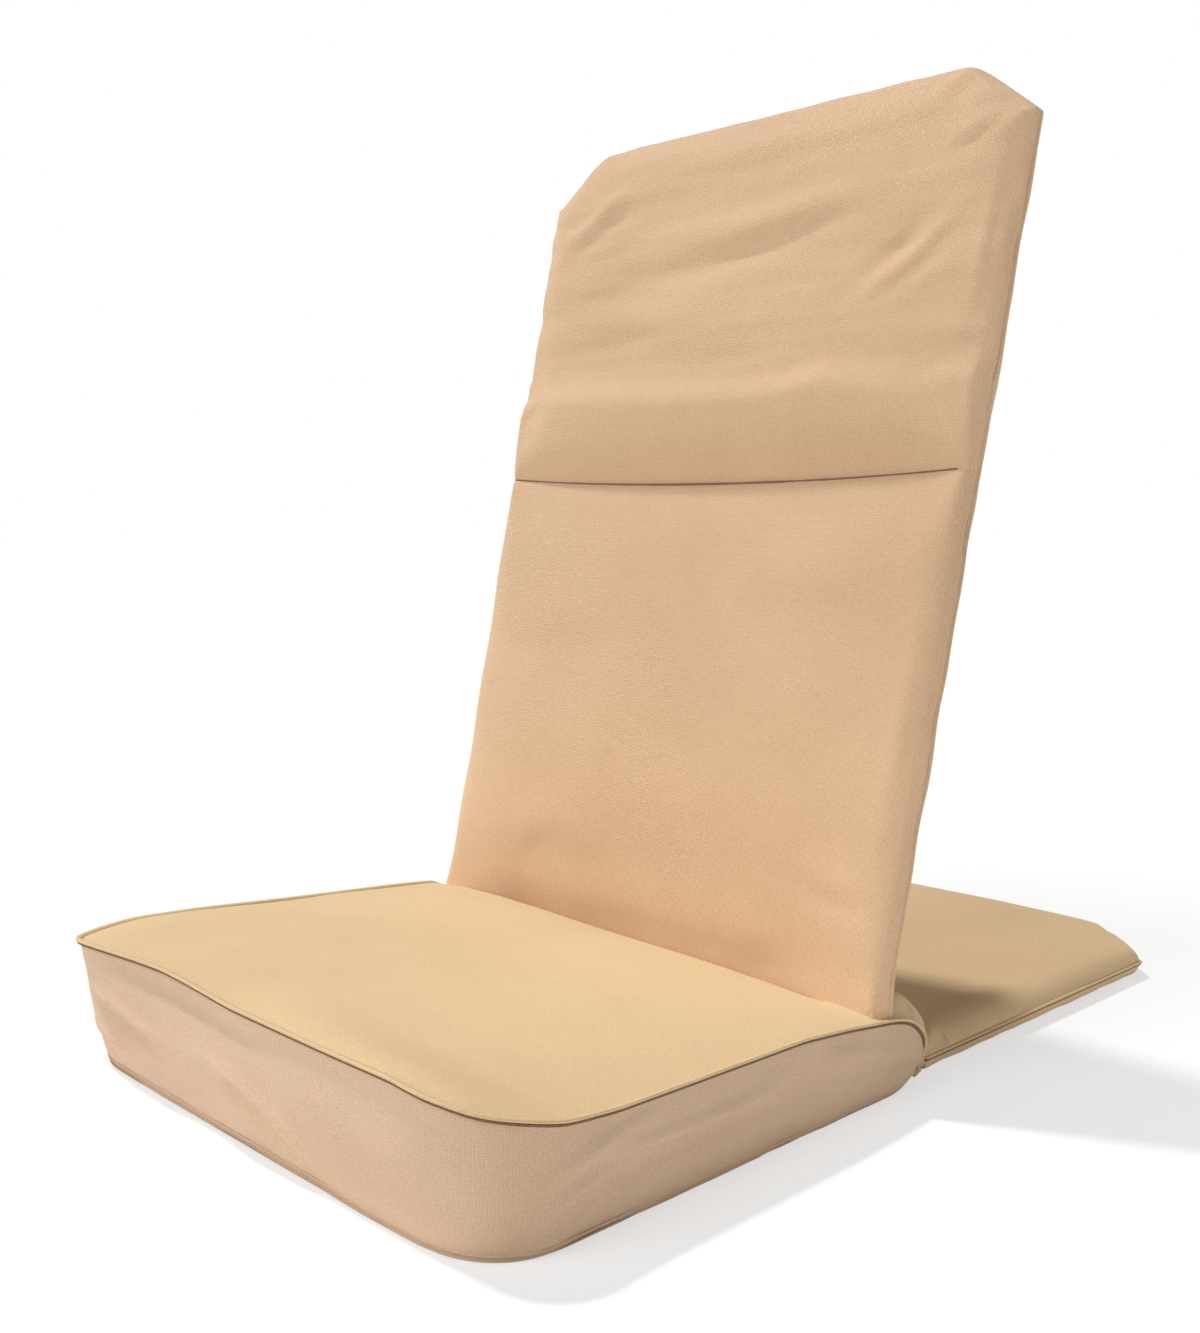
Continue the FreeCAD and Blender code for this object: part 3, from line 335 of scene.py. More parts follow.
def pinch(piece, place, reach, depth):
    """Draws the cloth in along its normals round a place, as a stitch does."""
    points = points_of(piece)
    gap = np.linalg.norm(points - np.array(place, float), axis=1)
    raise_points(piece, points, -depth * np.exp(-((gap / reach) ** 2)))


def strip(name, line, section, outward, closed=True):
    """A thin strip of cloth swept along a line. Section gives (out, up) places round it, and
    outward is one direction, or one for each point."""
    line = np.array(line, float)
    count = len(line)
    along = np.roll(line, -1, 0) - np.roll(line, 1, 0)
    if not closed:
        along[0], along[-1] = line[1] - line[0], line[-1] - line[-2]
    up = np.cross(outward, along)
    up /= np.linalg.norm(up, axis=1)[:, None]
    points = np.concatenate([line + outward * reach + up * rise for reach, rise in section])
    size = len(section)
    faces = []
    for k in range(count if closed else count - 1):
        for m in range(size):
            here, there = m * count, (m + 1) % size * count
            after = (k + 1) % count
            faces.append((here + k, there + k, there + after, here + after))
    if not closed:
        faces.append(tuple(m * count for m in range(size))[::-1])
        faces.append(tuple(m * count + count - 1 for m in range(size)))
    return cloth_object(name, points, faces)


def cover(piece, *materials):
    """Gives the piece its materials, in their order."""
    for material in materials:
        piece.data.materials.append(material)


def add_trim(piece, trim, slot):
    """Joins a strip to the piece, in one of the piece's materials."""
    cover(trim, *piece.data.materials)
    trim.data.polygons.foreach_set("material_index", [slot] * len(trim.data.polygons))
    with bpy.context.temp_override(active_object=piece, selected_editable_objects=[piece, trim]):
        bpy.ops.object.join()


def level_outward(line):
    """Directions level with the floor, straight out of a closed line of points."""
    after = np.roll(line, -1, 0) - np.roll(line, 1, 0)
    out = np.stack([after[:, 1], -after[:, 0], np.zeros(len(line))], 1)
    return out / np.linalg.norm(out, axis=1)[:, None]


# ---- Materials ----

# Metres from one thread of the canvas to the next, and depth of the weave
THREAD = 0.0014
WEAVE_DEPTH = 0.0005
# Bands of a wave texture to the unit, at scale 1
WAVE_BANDS = 3.2
# Shares of weave and flecks in the cloth's pattern
WEAVE_SHARE, FLECK_SHARE = 0.5, 0.55
# Scales of the noise in the flecks and in the uneven colour
FLECK_SCALE, CLOUD_SCALE = 900, 9
# Tones of the cloth between its threads and on top of them
LOW_TONE, HIGH_TONE = 0.74, 1.13
# Heights, in metres, between which painted shade darkens a canvas towards its top
SHADE_FOOT, SHADE_TOP = 0.08, 0.34
# Depth of the grain of the other finishes, in metres
GRAIN_DEPTH = 0.00005


def connect(tree, node, inputs):
    """Gives a node's inputs their values, or links them to the outputs of other nodes."""
    for name, value in inputs.items():
        if isinstance(value, bpy.types.NodeSocket):
            tree.links.new(value, node.inputs[name])
        else:
            node.inputs[name].default_value = value


def add_node(tree, kind, inputs=None, **settings):
    """A new node with these settings and inputs."""
    node = tree.nodes.new("ShaderNode" + kind)
    for name, value in settings.items():
        setattr(node, name, value)
    connect(tree, node, inputs or {})
    return node


def result(tree, operation, *values):
    """The result of a math operation."""
    node = add_node(tree, "Math", dict(enumerate(values)), operation=operation)
    return node.outputs[0]


def noise_at(tree, places, scale, detail):
    """Noise at these places, from 0 to 1."""
    inputs = {"Vector": places, "Scale": scale, "Detail": detail}
    return add_node(tree, "TexNoise", inputs).outputs["Fac"]


def ramp(tree, factor, low, high, low_place=0.0, high_place=1.0):
    """A colour between two colours."""
    node = add_node(tree, "ValToRGB", {"Fac": factor})
    for element, place, colour in zip(
        node.color_ramp.elements, (low_place, high_place), (low, high)
    ):
        element.position = place
        element.color = (*colour, 1.0)
    return node.outputs["Color"]


def tinted(tree, colour, tint):
    """The product of two colours."""
    inputs = {"Factor": 1.0, "A": colour, "B": tint}
    node = add_node(tree, "Mix", inputs, data_type="RGBA", blend_type="MULTIPLY")
    return node.outputs["Result"]


def bumped(tree, height, strength, depth):
    """The normal of a surface with this height on it."""
    inputs = {"Height": height, "Strength": strength, "Distance": depth}
    return add_node(tree, "Bump", inputs).outputs["Normal"]


def new_material(name, inputs):
    """A material with its tree and its shader, which has these inputs."""
    material = bpy.data.materials.new(name)
    material.use_nodes = True
    shader = material.node_tree.nodes["Principled BSDF"]
    connect(material.node_tree, shader, inputs)
    return material, material.node_tree, shader


def threads(tree, places, scale, turn):
    """Wavy thread lines along one axis of the places, from 0 to 1."""
    turned = add_node(tree, "Mapping", {"Vector": places, "Rotation": turn})
    inputs = {
        "Vector": turned.outputs["Vector"],
        "Scale": scale,
        "Distortion": 1.6,
        "Detail": 2.0,
        "Detail Scale": 0.6,
    }
    wave = add_node(tree, "TexWave", inputs, wave_type="BANDS", bands_direction="X")
    return wave.outputs["Fac"]


def canvas(name, colour, lean=0.0, top_tone=1.0):
    """Cotton canvas in a plain weave, fitted to the surface by its normal. Lean turns the weave
    with a leaning panel. The last argument is how much of the colour is left at the top: painted
    shade, darker higher up where less light falls than on the lower part."""
    soft = {"Sheen Weight": 0.12, "Sheen Roughness": 0.5, "Specular IOR Level": 0.25}
    material, tree, shader = new_material(name, {"Roughness": 0.88, **soft})
    place = add_node(tree, "TexCoord")
    turn = {"Rotation": (lean, 0.0, 0.0)}
    level = add_node(tree, "Mapping", {"Vector": place.outputs["Object"], **turn})
    level = level.outputs["Vector"]
    facing = add_node(
        tree, "Mapping", {"Vector": place.outputs["Normal"], **turn}, vector_type="NORMAL"
    )
    sides = add_node(tree, "SeparateXYZ", {"Vector": facing.outputs["Vector"]})
    quarter = math.radians(90.0)
    along = [
        threads(tree, level, 1.0 / THREAD / WAVE_BANDS, axis)
        for axis in ((0.0, 0.0, 0.0), (0.0, 0.0, quarter), (0.0, quarter, 0.0))
    ]
    weave = None
    for side, first, second in (("X", 1, 2), ("Y", 0, 2), ("Z", 0, 1)):
        share = result(tree, "POWER", result(tree, "ABSOLUTE", sides.outputs[side]), 4.0)
        crossing = result(tree, "MULTIPLY", along[first], along[second])
        part = result(tree, "MULTIPLY", crossing, share)
        weave = part if weave is None else result(tree, "ADD", weave, part)
    flecks = result(tree, "MULTIPLY", noise_at(tree, level, FLECK_SCALE, 3.0), FLECK_SHARE)
    mixed = result(tree, "ADD", result(tree, "MULTIPLY", weave, WEAVE_SHARE), flecks)
    low = [LOW_TONE * part for part in colour]
    high = [min(1.0, HIGH_TONE * part) for part in colour]
    spun = ramp(tree, mixed, low, high, 0.18, 0.72)
    uneven = noise_at(tree, level, CLOUD_SCALE, 3.0)
    clouds = ramp(tree, uneven, (0.95, 0.94, 0.93), (1.0, 1.0, 1.0), 0.35, 0.6)
    # Painted shade: the colour darkens between the two shade heights, down to the last argument's
    # share
    up = add_node(tree, "SeparateXYZ", {"Vector": place.outputs["Object"]}).outputs["Z"]
    height = add_node(
        tree, "MapRange", {"Value": up, "From Min": SHADE_FOOT, "From Max": SHADE_TOP}
    )
    painted_shade = ramp(tree, height.outputs["Result"], (1.0, 1.0, 1.0), (top_tone, top_tone, top_tone))
    surface = {
        "Base Color": tinted(tree, tinted(tree, spun, clouds), painted_shade),
        "Normal": bumped(tree, mixed, 0.75, WEAVE_DEPTH),
    }
    connect(tree, shader, surface)
    return material


def grained(name, low, high, roughness, metallic=0.0, scale=60.0, coat=0.0, stretch=(1, 1, 1)):
    """Paint, plating, plastic, painted seam shade or bare metal, between two tones, with an uneven
    finish.
    """
    plain = {"Roughness": roughness, "Metallic": metallic, "Coat Weight": coat}
    material, tree, shader = new_material(name, plain)
    place = add_node(tree, "TexCoord").outputs["Object"]
    fitted = add_node(tree, "Mapping", {"Vector": place, "Scale": stretch})
    grain = noise_at(tree, fitted.outputs["Vector"], scale, 5.0)
    span = {"To Min": max(0.05, roughness - 0.1), "To Max": min(1.0, roughness + 0.1)}
    wear = add_node(tree, "MapRange", {"Value": grain, **span})
    surface = {
        "Base Color": ramp(tree, grain, low, high, 0.35, 0.65),
        "Roughness": wear.outputs["Result"],
        "Normal": bumped(tree, grain, 0.4, GRAIN_DEPTH),
    }
    connect(tree, shader, surface)
    return material


# One canvas in coloured copies that carry painted light and shade of their regions: the seat top
# lighter, the band darker, the back and pad shifted by how light falls on them, the back also
# darker towards its top. The darker canvas_under covers the bottoms.
seat_canvas = canvas("canvas_seat_top", (0.80, 0.585, 0.325))
band_canvas = canvas("canvas_seat_band", (0.73, 0.515, 0.35))
back_canvas = canvas("canvas_back", (0.815, 0.551, 0.34), RECLINE, 0.843)
pad_canvas = canvas("canvas_pad", (0.80, 0.575, 0.325))
under_canvas = canvas("canvas_under", (0.62, 0.45, 0.28))
# Dark brown for strips laid in the seams' crevices: painted shade, the dark lines there
painted_seam_shade = grained("painted_seam_shade", (0.15, 0.085, 0.045), (0.22, 0.13, 0.075), 0.9, scale=700.0)
black_paint = grained(
    "satin_black_paint", (0.010, 0.010, 0.011), (0.020, 0.020, 0.021), 0.42, scale=420.0, coat=0.2
)
plain_steel = grained(
    "drawn_steel", (0.36, 0.36, 0.37), (0.52, 0.52, 0.53), 0.36, metallic=1.0, stretch=(1, 0.05, 1)
)
zinc_plate = grained(
    "zinc_plate", (0.48, 0.50, 0.52), (0.66, 0.67, 0.68), 0.3, metallic=1.0, scale=240.0
)
nylon = grained("natural_nylon", (0.66, 0.65, 0.60), (0.74, 0.73, 0.68), 0.5, scale=300.0)
black_plastic = grained(
    "moulded_black_plastic", (0.008, 0.008, 0.008), (0.016, 0.016, 0.016), 0.5, scale=900.0
)

FINISHES = (
    (black_paint, ("base_front_tube", "base_rear_tube", "base_cross_tube")),
    (black_paint, ("pivot_bracket_right", "pivot_bracket_left", "back_tube", "back_lower_tube")),
    (plain_steel, ("tube_joint_sleeves",)),
    (zinc_plate, ("bracket_rivets", "pivot_bolts", "pivot_nuts")),
    (nylon, ("pivot_washers", "leg_bushings")),
    (black_plastic, ("leg_plugs",)),
)
for finish, node_names in FINISHES:
    for node_name in node_names:
        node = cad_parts[node_name]
        if not node.material_slots:
            cover(node, finish)
        for material_slot in node.material_slots:
            material_slot.material = finish


def dress(piece, body, nodes):
    """Gives a padded piece its body and the CAD nodes that it stands for."""
    points = points_of(piece)
    points[:, 2] = np.maximum(points[:, 2], 0.0)  # nothing goes below the floor
    put_points(piece, points)
    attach(piece, body)
    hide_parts(*nodes)


# ---- Cushion ----

# Height of the top seam at places round the cushion: it dips at the near corner, and falls to the
# hinge at the rear, more on the near side.
FRONT_SEAM = (
    (-222, 82.5), (-175, 86), (-123, 90), (-86, 92), (-55, 91), (-4, 88), (95, 88), (150, 88.5),
    (190, 85.5), (222, 79),
)
NEAR_SEAM = (
    (-385, 82), (-358, 76), (-337, 72), (-299, 68.5), (-253, 67.5), (-203, 66.5), (-138, 65.5),
    (-92, 61), (-39, 54),
)
FAR_SEAM = ((-385, 86), (-369, 88), (-290, 84), (-202, 77), (-104, 70), (-50, 65))
# (y, z) of the top cloth behind the seat: under the backrest, over the hinge and down to the pad
HINGE_MIDDLE = (
    (-66, 70), (-62.5, 68.6), (-59, 65), (-56.5, 60.5), (-51, 58.5), (-44, 59), (-38, 63),
    (-34, 66.5), (-29, 68), (-22, 67), (-12, 62.5), (-2, 55), (9, 45), (18, 35.5), (21.8, 28.5),
    (19, 22), (14, 16.5), (12, 12),
)
# The same along the side seam, which curves down to a tuck
HINGE_SIDE = (
    (-66, 57.5), (-50, 55.5), (-39, 53.5), (-28, 50.5), (-18, 45.5), (-9, 38.5), (-3, 31.5),
    (-0.5, 25), (-1.5, 18), (-4, 12.5),
)
# Height of that cloth over the brackets, where the backrest leaves no crevice, from this x on
HINGE_FILLED = 67.5
BRACKET_SIDES = (170, 182)
HINGE_CREST = -25
# How far inside the side seam the cloth takes the shape of its middle
HINGE_SHOULDER = 13
HINGE_STEPS = 34
TUCK_DEPTH = 9
# How far the seams' heights blend, across the cushion and behind its front corners
SEAM_BLEND = 220
CORNER_BLEND = 60
# The front bows out in the middle. The sides draw in, most at the waist.
FRONT_BOW = 2.2
SIDE_DRAW = 0.5
WAIST_Y = -200
# The bottom: its inset, the radius of its front corners, near and far, its height off the floor,
# and its rear edge, which curls up and draws in at the tuck, between these two y
FOOT_INSET = 4
FOOT_CORNERS = (51, 48)
FOOT_CLEAR = 0.3
FOOT_REAR = 4
FOOT_CURL = 7
FOOT_CURL_WIDTH = 9
FOOT_CURL_Y = (-42, 6)
FOOT_DRAW = 0.025
FOOT_DRAW_Y = (-30, 6)
# How far the band turns in at the foot, and over what share of its height: 1 in 12
FOOT_TURN = 5
FOOT_TURN_PACE = 12
# The crown has risen in full at 1 / 2.2 of the seat's length
CROWN_PACE = 2.2
FOOT_SEAM_Z = 1.9


def height_at(stations, place):
    """Height of the seam at a place, from its stations."""
    places, heights = zip(*stations)
    return np.interp(place, places, heights)


def seat_edges(half, near_radius, far_radius, inset=0.0):
    """The four edge lines of the cushion's outline at one level, each from its first corner."""
    front = SEAT_FRONT + inset
    near_x, near_y = half - near_radius, front + near_radius
    far_x, far_y = -half + far_radius, front + far_radius
    bow = [
        (x, front - FRONT_BOW * (1.0 - (x / half) ** 2)) for x in np.linspace(far_x, near_x, 24)
    ]
    far_turn = arc(far_x, far_y, far_radius, 225, 270)[:-1]
    near_turn = arc(near_x, near_y, near_radius, 270, 315)[1:]
    near_side = [(half - SIDE_DRAW, WAIST_Y), (half, SEAT_REAR)]
    far_side = [(-x, y) for x, y in near_side]
    near_line = arc(near_x, near_y, near_radius, 315, 360) + near_side
    far_line = arc(far_x, far_y, far_radius, 225, 180) + far_side
    rear = [(-half, SEAT_REAR), (half, SEAT_REAR)]
    return far_turn + bow + near_turn, rear, far_line, near_line


SEAT_ACROSS = spread(0.0, 2 * SEAT_SEAM_HALF, PITCH, FINE) / (2 * SEAT_SEAM_HALF)
SEAT_LENGTH = SEAT_REAR - SEAT_FRONT
seat_steps = np.linspace(FINE[-1], SEAT_LENGTH, round(SEAT_LENGTH / PITCH))
SEAT_ALONG = np.concatenate([FINE[:-1], seat_steps]) / SEAT_LENGTH


def seat_level(half, near_radius, far_radius, inset=0.0):
    """A flat grid of points inside the cushion's outline at one level."""
    edges = seat_edges(half, near_radius, far_radius, inset)
    places = (SEAT_ACROSS, SEAT_ACROSS, SEAT_ALONG, SEAT_ALONG)
    lines = [resample(edge, shares) for edge, shares in zip(edges, places)]
    grid = coons(*lines, SEAT_ACROSS, SEAT_ALONG)
    return np.concatenate([grid, np.zeros((*grid.shape[:2], 1))], 2)


def seam_height(x, y):
    """Height of the top seam at a place near the cushion's edge, or between the edges."""
    front = height_at(FRONT_SEAM, x)
    near = height_at(NEAR_SEAM, y) * smooth(-SEAM_BLEND, SEAM_BLEND, x)
    far = height_at(FAR_SEAM, y) * smooth(-SEAM_BLEND, SEAM_BLEND, -x)
    share = smooth(SEAT_FRONT, SEAT_FRONT + CORNER_BLEND, y)
    return front * (1.0 - share) + (near + far) * share


def smooth_line(points, steps=8, closed=False):
    """A smooth line through the points."""
    points = np.array(points, float)
    number = len(points)
    line = []
    for k in range(number if closed else number - 1):
        places = np.array([k - 1, k, k + 1, k + 2])
        places = places % number if closed else np.clip(places, 0, number - 1)
        a, b, c, d = points[places]
        for t in np.linspace(0.0, 1.0, steps, endpoint=False):
            bend = (2 * a - 5 * b + 4 * c - d) * t**2 + (3 * b - a - 3 * c + d) * t**3
            line.append(0.5 * (2 * b + (c - a) * t + bend))
    line.append(points[0] if closed else points[-1])
    return line


def hinge_rows(seat_edge):
    """Rows of the top cloth behind the seat, from its last row to the tuck in front of the pad."""
    shares = np.linspace(0.0, 1.0, HINGE_STEPS + 1)[1:]
    middle = resample(smooth_line(HINGE_MIDDLE), shares)
    side = resample(smooth_line(HINGE_SIDE), shares)
    x = seat_edge[:, 0]
    inner = smooth(0.0, HINGE_SHOULDER, SEAT_SEAM_HALF - np.abs(x))
    at_bracket = smooth(*BRACKET_SIDES, np.abs(x))
    start = HINGE_SIDE[0][1] * (1.0 - inner) + HINGE_MIDDLE[0][1] * inner
    rows = []
    for share, (side_y, side_z), (middle_y, middle_z) in zip(shares, side, middle):
        drawn = 1.0 - TUCK_DEPTH / SEAT_SEAM_HALF * share**4
        y = side_y * (1.0 - inner) + middle_y * inner
        filled = max(middle_z, HINGE_FILLED) if middle_y < HINGE_CREST else middle_z
        height = middle_z + (filled - middle_z) * at_bracket
        z = side_z * (1.0 - inner) + height * inner + (seat_edge[:, 2] - start) * (1.0 - share) ** 4
        rows.append(np.stack([x * drawn, y, z], 1))
    return np.stack(rows, 1)


# Levels of the side band's rings, as shares of its height below the top seam
BAND_STEPS = (
    0.02, 0.05, 0.1, 0.17, 0.25, 0.33, 0.42, 0.51, 0.6, 0.69, 0.78, 0.86, 0.92, 0.96, 0.985,
)


def build_cushion():
    """The cushion: crowned top that runs on over the hinge, tall side band and flat bottom."""
    top = seat_level(SEAT_SEAM_HALF, NEAR_CORNER, FAR_CORNER)
    foot = seat_level(SEAT_FOOT_HALF, *FOOT_CORNERS, FOOT_INSET)
    s = 2.0 * SEAT_ACROSS[:, None] - 1.0
    t = SEAT_ALONG[None, :]
    top[..., 2] = seam_height(top[..., 0], top[..., 1])
    front_lift = 1.0 - (1.0 - np.minimum(t * CROWN_PACE, 1.0)) ** 3
    top[..., 2] += SEAT_CROWN * (1.0 - np.abs(s) ** 5) * front_lift
    top = np.concatenate([top, hinge_rows(top[:, -1])], 1)
    rear = np.linspace(0.0, 1.0, HINGE_STEPS + 1)[1:]
    under = np.repeat(foot[:, -1:], HINGE_STEPS, 1)
    under[..., 1] = SEAT_REAR + (FOOT_REAR - SEAT_REAR) * rear[None, :]
    foot = np.concatenate([foot, under], 1)
    edge = np.maximum(0.0, SEAT_FOOT_HALF - np.abs(foot[..., 0]))
    curl = smooth(*FOOT_CURL_Y, foot[..., 1]) * np.exp(-edge / FOOT_CURL_WIDTH)
    foot[..., 2] = FOOT_CLEAR + FOOT_CURL * curl
    foot[..., 0] *= 1.0 - FOOT_DRAW * smooth(*FOOT_DRAW_Y, foot[..., 1])
    columns, rows = top.shape[:2]
    loop = edge_loop(columns, rows)
    seam = along_loop(top, loop)
    base = along_loop(foot, loop)
    out = level_outward(seam)
    at_side = np.array([i in (0, columns - 1) and j > len(SEAT_ALONG) for i, j in loop])
    out[at_side] = np.sign(seam[at_side, :1]) * np.array([1.0, 0.0, 0.0])
    rings = []
    for step in BAND_STEPS:
        level = 1.0 - step
        ring = base + (seam - base) * level
        swell = SEAT_BULGE * math.sin(math.pi * level**0.8)
        turned_in = FOOT_TURN * roll(level * FOOT_TURN_PACE, 1.0)
        rings.append(ring + out * (swell - turned_in))
    piece, lines = pillow("seat_cushion", top, rings, foot)
    size = columns * rows
    held = lines[0] + list(range(size, 2 * size)) + lines[-2]
    held += [i * rows + j for i in range(columns) for j in range(len(SEAT_ALONG) - 2, rows)]
    behind = [k for k, (i, j) in enumerate(loop) if j > len(SEAT_ALONG) + 8]
    held += [ring[k] for ring in lines[1:-1] for k in behind]
    return piece, lines, out, held


cushion, seat_lines, seam_out, seat_held = build_cushion()
cushion_slots = np.ones(len(cushion.data.polygons), int)
seat_quads = (len(SEAT_ACROSS) - 1) * (len(SEAT_ALONG) + HINGE_STEPS - 1)
cushion_slots[0 : 2 * seat_quads : 2] = 0
cushion_slots[1 : 2 * seat_quads : 2] = 2
cover(cushion, seat_canvas, band_canvas, under_canvas, painted_seam_shade)
cushion.data.polygons.foreach_set("material_index", cushion_slots)
settle(cushion, sorted(set(seat_held)), pressure=2.5, cap=4.0)

cushion_points = points_of(cushion)
seam_line = cushion_points[seat_lines[0]]
foot_line = cushion_points[seat_lines[-3]]
foot_line[:, 2] = np.maximum(foot_line[:, 2], FOOT_SEAM_Z)

ripple(cushion, height=1.2, size=(110, 90, 40), seed=3)
ripple(cushion, height=0.7, size=(46, 36, 22), seed=11, mask=by_height(74, 60))

SEAT_FOLDS = (
    # (line, height, width): creases of the front band, left to right, then of the near side
    (((-206, -388, 56), (-150, -393, 49), (-97, -394, 42), (-66, -394, 38)), 2.6, 4.5),
    (((-210, -386, 49), (-150, -393, 42), (-97, -394, 35), (-70, -394, 32)), -2.6, 4.5),
    (((-60, -394, 52), (0, -394, 44), (60, -394, 24), (96, -393, 10)), 2.8, 5),
    (((-40, -394, 42), (10, -394, 33), (60, -394, 13), (88, -393, 4)), -2.4, 5),
    (((-170, -393, 78), (-80, -394, 80), (0, -394, 74), (70, -394, 76)), -1.4, 6),
    (((-212, -382, 22), (-186, -390, 17), (-150, -393, 11)), -2.2, 4),
    (((-212, -382, 30), (-180, -391, 25), (-130, -393, 19)), 1.6, 5),
    (((225, -340, 52), (225, -270, 43), (225, -200, 41), (225, -140, 45)), 2, 5),
    (((225, -330, 40), (225, -260, 33), (225, -190, 33), (225, -150, 36)), -1.9, 5),
    (((214, -366, 34), (223, -335, 46), (225, -300, 55), (225, -250, 58)), 1.5, 5),
    (((205, -375, 10), (219, -345, 24), (225, -315, 36), (225, -280, 40)), 1.9, 5),
    (((212, -368, 8), (223, -335, 20), (225, -300, 29), (225, -250, 30)), -1.6, 5),
    (((224, -130, 52), (224, -95, 44), (224, -60, 36), (224, -20, 28)), 1.4, 6),
    (((224, -60, 22), (223, -30, 18), (220, -6, 14)), -1.6, 4),
    (((-225, -340, 44), (-225, -260, 38), (-225, -180, 40)), 1.8, 6),
    (((-225, -320, 30), (-225, -240, 26), (-225, -160, 28)), -1.6, 5),
    (((-225, -140, 46), (-225, -90, 40), (-225, -30, 30)), 1.4, 6),
    (((150, 4, 44), (186, 2, 46), (210, -8, 40)), 2, 5),
    (((-160, 4, 44), (-40, 6, 42), (60, 6, 43)), 1.6, 7),
)
SEAT_FOLD_GAIN = 1.5
# Where stitches draw the cover in: the far front corner's foot and both ends of the tuck
SEAT_PINCHES = ((-216, -376, 13), (214, -1, 9), (-214, -1, 9))
for line, height, width in SEAT_FOLDS:
    fold(cushion, line, SEAT_FOLD_GAIN * height, width)
for place in SEAT_PINCHES:
    pinch(cushion, place, reach=6, depth=6)

# Sections of the seam's lip, of the dark strip of painted shade under it and of the seam at the
# foot, as (out, up)
LIP = (
    (-1.5, -0.9), (0.6, -0.8), (2.1, -0.3), (2.7, 0.5), (2.6, 1.3), (1.8, 1.7), (0.6, 1.4),
    (-1.2, 0.7),
)
LIP_SHADE = ((-1, -2.6), (0.9, -2.5), (1.7, -1.8), (1.6, -0.7), (-1, -0.6))
FOOT_LIP = ((-1.5, -0.8), (0.2, -0.8), (0.7, -0.3), (0.8, 0.3), (0.4, 0.8), (-1.2, 0.8))
add_trim(cushion, strip("seat_seam", seam_line, LIP, seam_out), 0)
# A dark strip under the lip: painted shade in the seam's crevice
add_trim(cushion, strip("seat_seam_shade", seam_line, LIP_SHADE, seam_out), 3)
add_trim(cushion, strip("seat_foot_seam", foot_line, FOOT_LIP, seam_out), 1)
dress(
    cushion,
    "base",
    ("seat_cover_top", "seat_cover_band", "seat_cover_bottom", "seat_foam"),
)
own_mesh(cushion)

# ---- Inner cloth round the brackets, which shows when the chair is folded ----

HINGE_PROFILE = (
    # (y, z) once round, from the floor in front
    (-74, 6), (-74, 24), (-72.5, 40), (-69.5, 47), (-65, 52.5), (-61, 57), (-58, 61.5),
    (-54, 64.8), (-48.5, 66.3), (-38, 64.5), (-29, 63.8), (-21, 61.5), (-14.5, 57), (-11, 50),
    (-10, 40), (-11, 30), (-13, 20), (-22, 12), (-45, 5),
)
HINGE_CORE = np.array([-42.0, 28.0])  # (y, z) of the middle of its ends
# Between the brackets the cloth stays lower, under the crevice in front of the backrest
HINGE_LOW = 56
INNER_BRACKET_SIDES = (176, 187)
# (z, half width)
HINGE_SIDES = ((0, 205), (20, 212), (30, 217.8), (54, 218.2), (61, 216.9), (68, 212))
# It draws in at the top rear, where the cushion's cover is close
TOP_DRAW = 3.6
TOP_DRAW_Y, TOP_DRAW_Z = (-36, -30), (50, 58)
END_ROUND = 3
# Shares of the profile's size in the rings that close its ends
END_RINGS = (0, 0.3, 0.6, 0.85)


def hinge_reach(y, z):
    """Half the width of the inner cloth."""
    drawn = TOP_DRAW * smooth(*TOP_DRAW_Y, y) * smooth(*TOP_DRAW_Z, z)
    return float(height_at(HINGE_SIDES, z) - drawn)


def build_hinge_cloth():
    """One profile across the chair, closed at the sides."""
    profile = resample(smooth_line(HINGE_PROFILE, closed=True), np.linspace(0.0, 1.0, 97))[:-1]
    across = spread(-1.0, 1.0, 0.03, (0.0, 0.004, 0.012, 0.024, 0.04))
    points, faces = [], []
    stations = [(-1.0, share) for share in END_RINGS] + [(x, 1.0) for x in across]
    stations += [(1.0, share) for share in reversed(END_RINGS)]
    for x, share in stations:
        drawn = roll((1.0 - abs(x)) * HINGE_HALF, END_ROUND)
        for place in profile:
            size = math.hypot(*(place - HINGE_CORE))
            inward = max(0.0, 1.0 - drawn / size) * share
            y, z = HINGE_CORE + (place - HINGE_CORE) * inward
            width = hinge_reach(y, z)
            between = 1.0 - smooth(*INNER_BRACKET_SIDES, abs(x) * width)
            z -= max(0.0, z - HINGE_LOW) * between
            points.append((x * width, y, max(z, FLOOR_CLEAR)))
    count = len(profile)
    for k in range(len(stations) - 1):
        for m in range(count):
            n = (m + 1) % count
            faces.append((k * count + m, (k + 1) * count + m, (k + 1) * count + n, k * count + n))
    return cloth_object("hinge_cloth", points, faces)


# Sleeves of the same cloth round the side tubes, where they run on into the pad
TUBE_X, TUBE_Z = 201, 11.3
SLEEVE_RADIUS = 11.2
SLEEVE_ENDS = (-14, 42)
SLEEVE = arc(0, 0, SLEEVE_RADIUS, 0, 360, 17)[:-1]
UPWARD = np.array([0.0, 0.0, 1.0])

hinge_cloth = build_hinge_cloth()
cover(hinge_cloth, band_canvas)
ripple(hinge_cloth, height=0.5, size=(38, 22, 22), seed=5, mask=by_height(4, 14))
for side in (-TUBE_X, TUBE_X):
    sleeve_line = [(side, y, TUBE_Z) for y in np.linspace(*SLEEVE_ENDS, 15)]
    add_trim(hinge_cloth, strip("tube_cloth", sleeve_line, SLEEVE, UPWARD, closed=False), 0)
dress(hinge_cloth, "base", ("hinge_cover", "hinge_filler"))

# ---- Rear pad ----


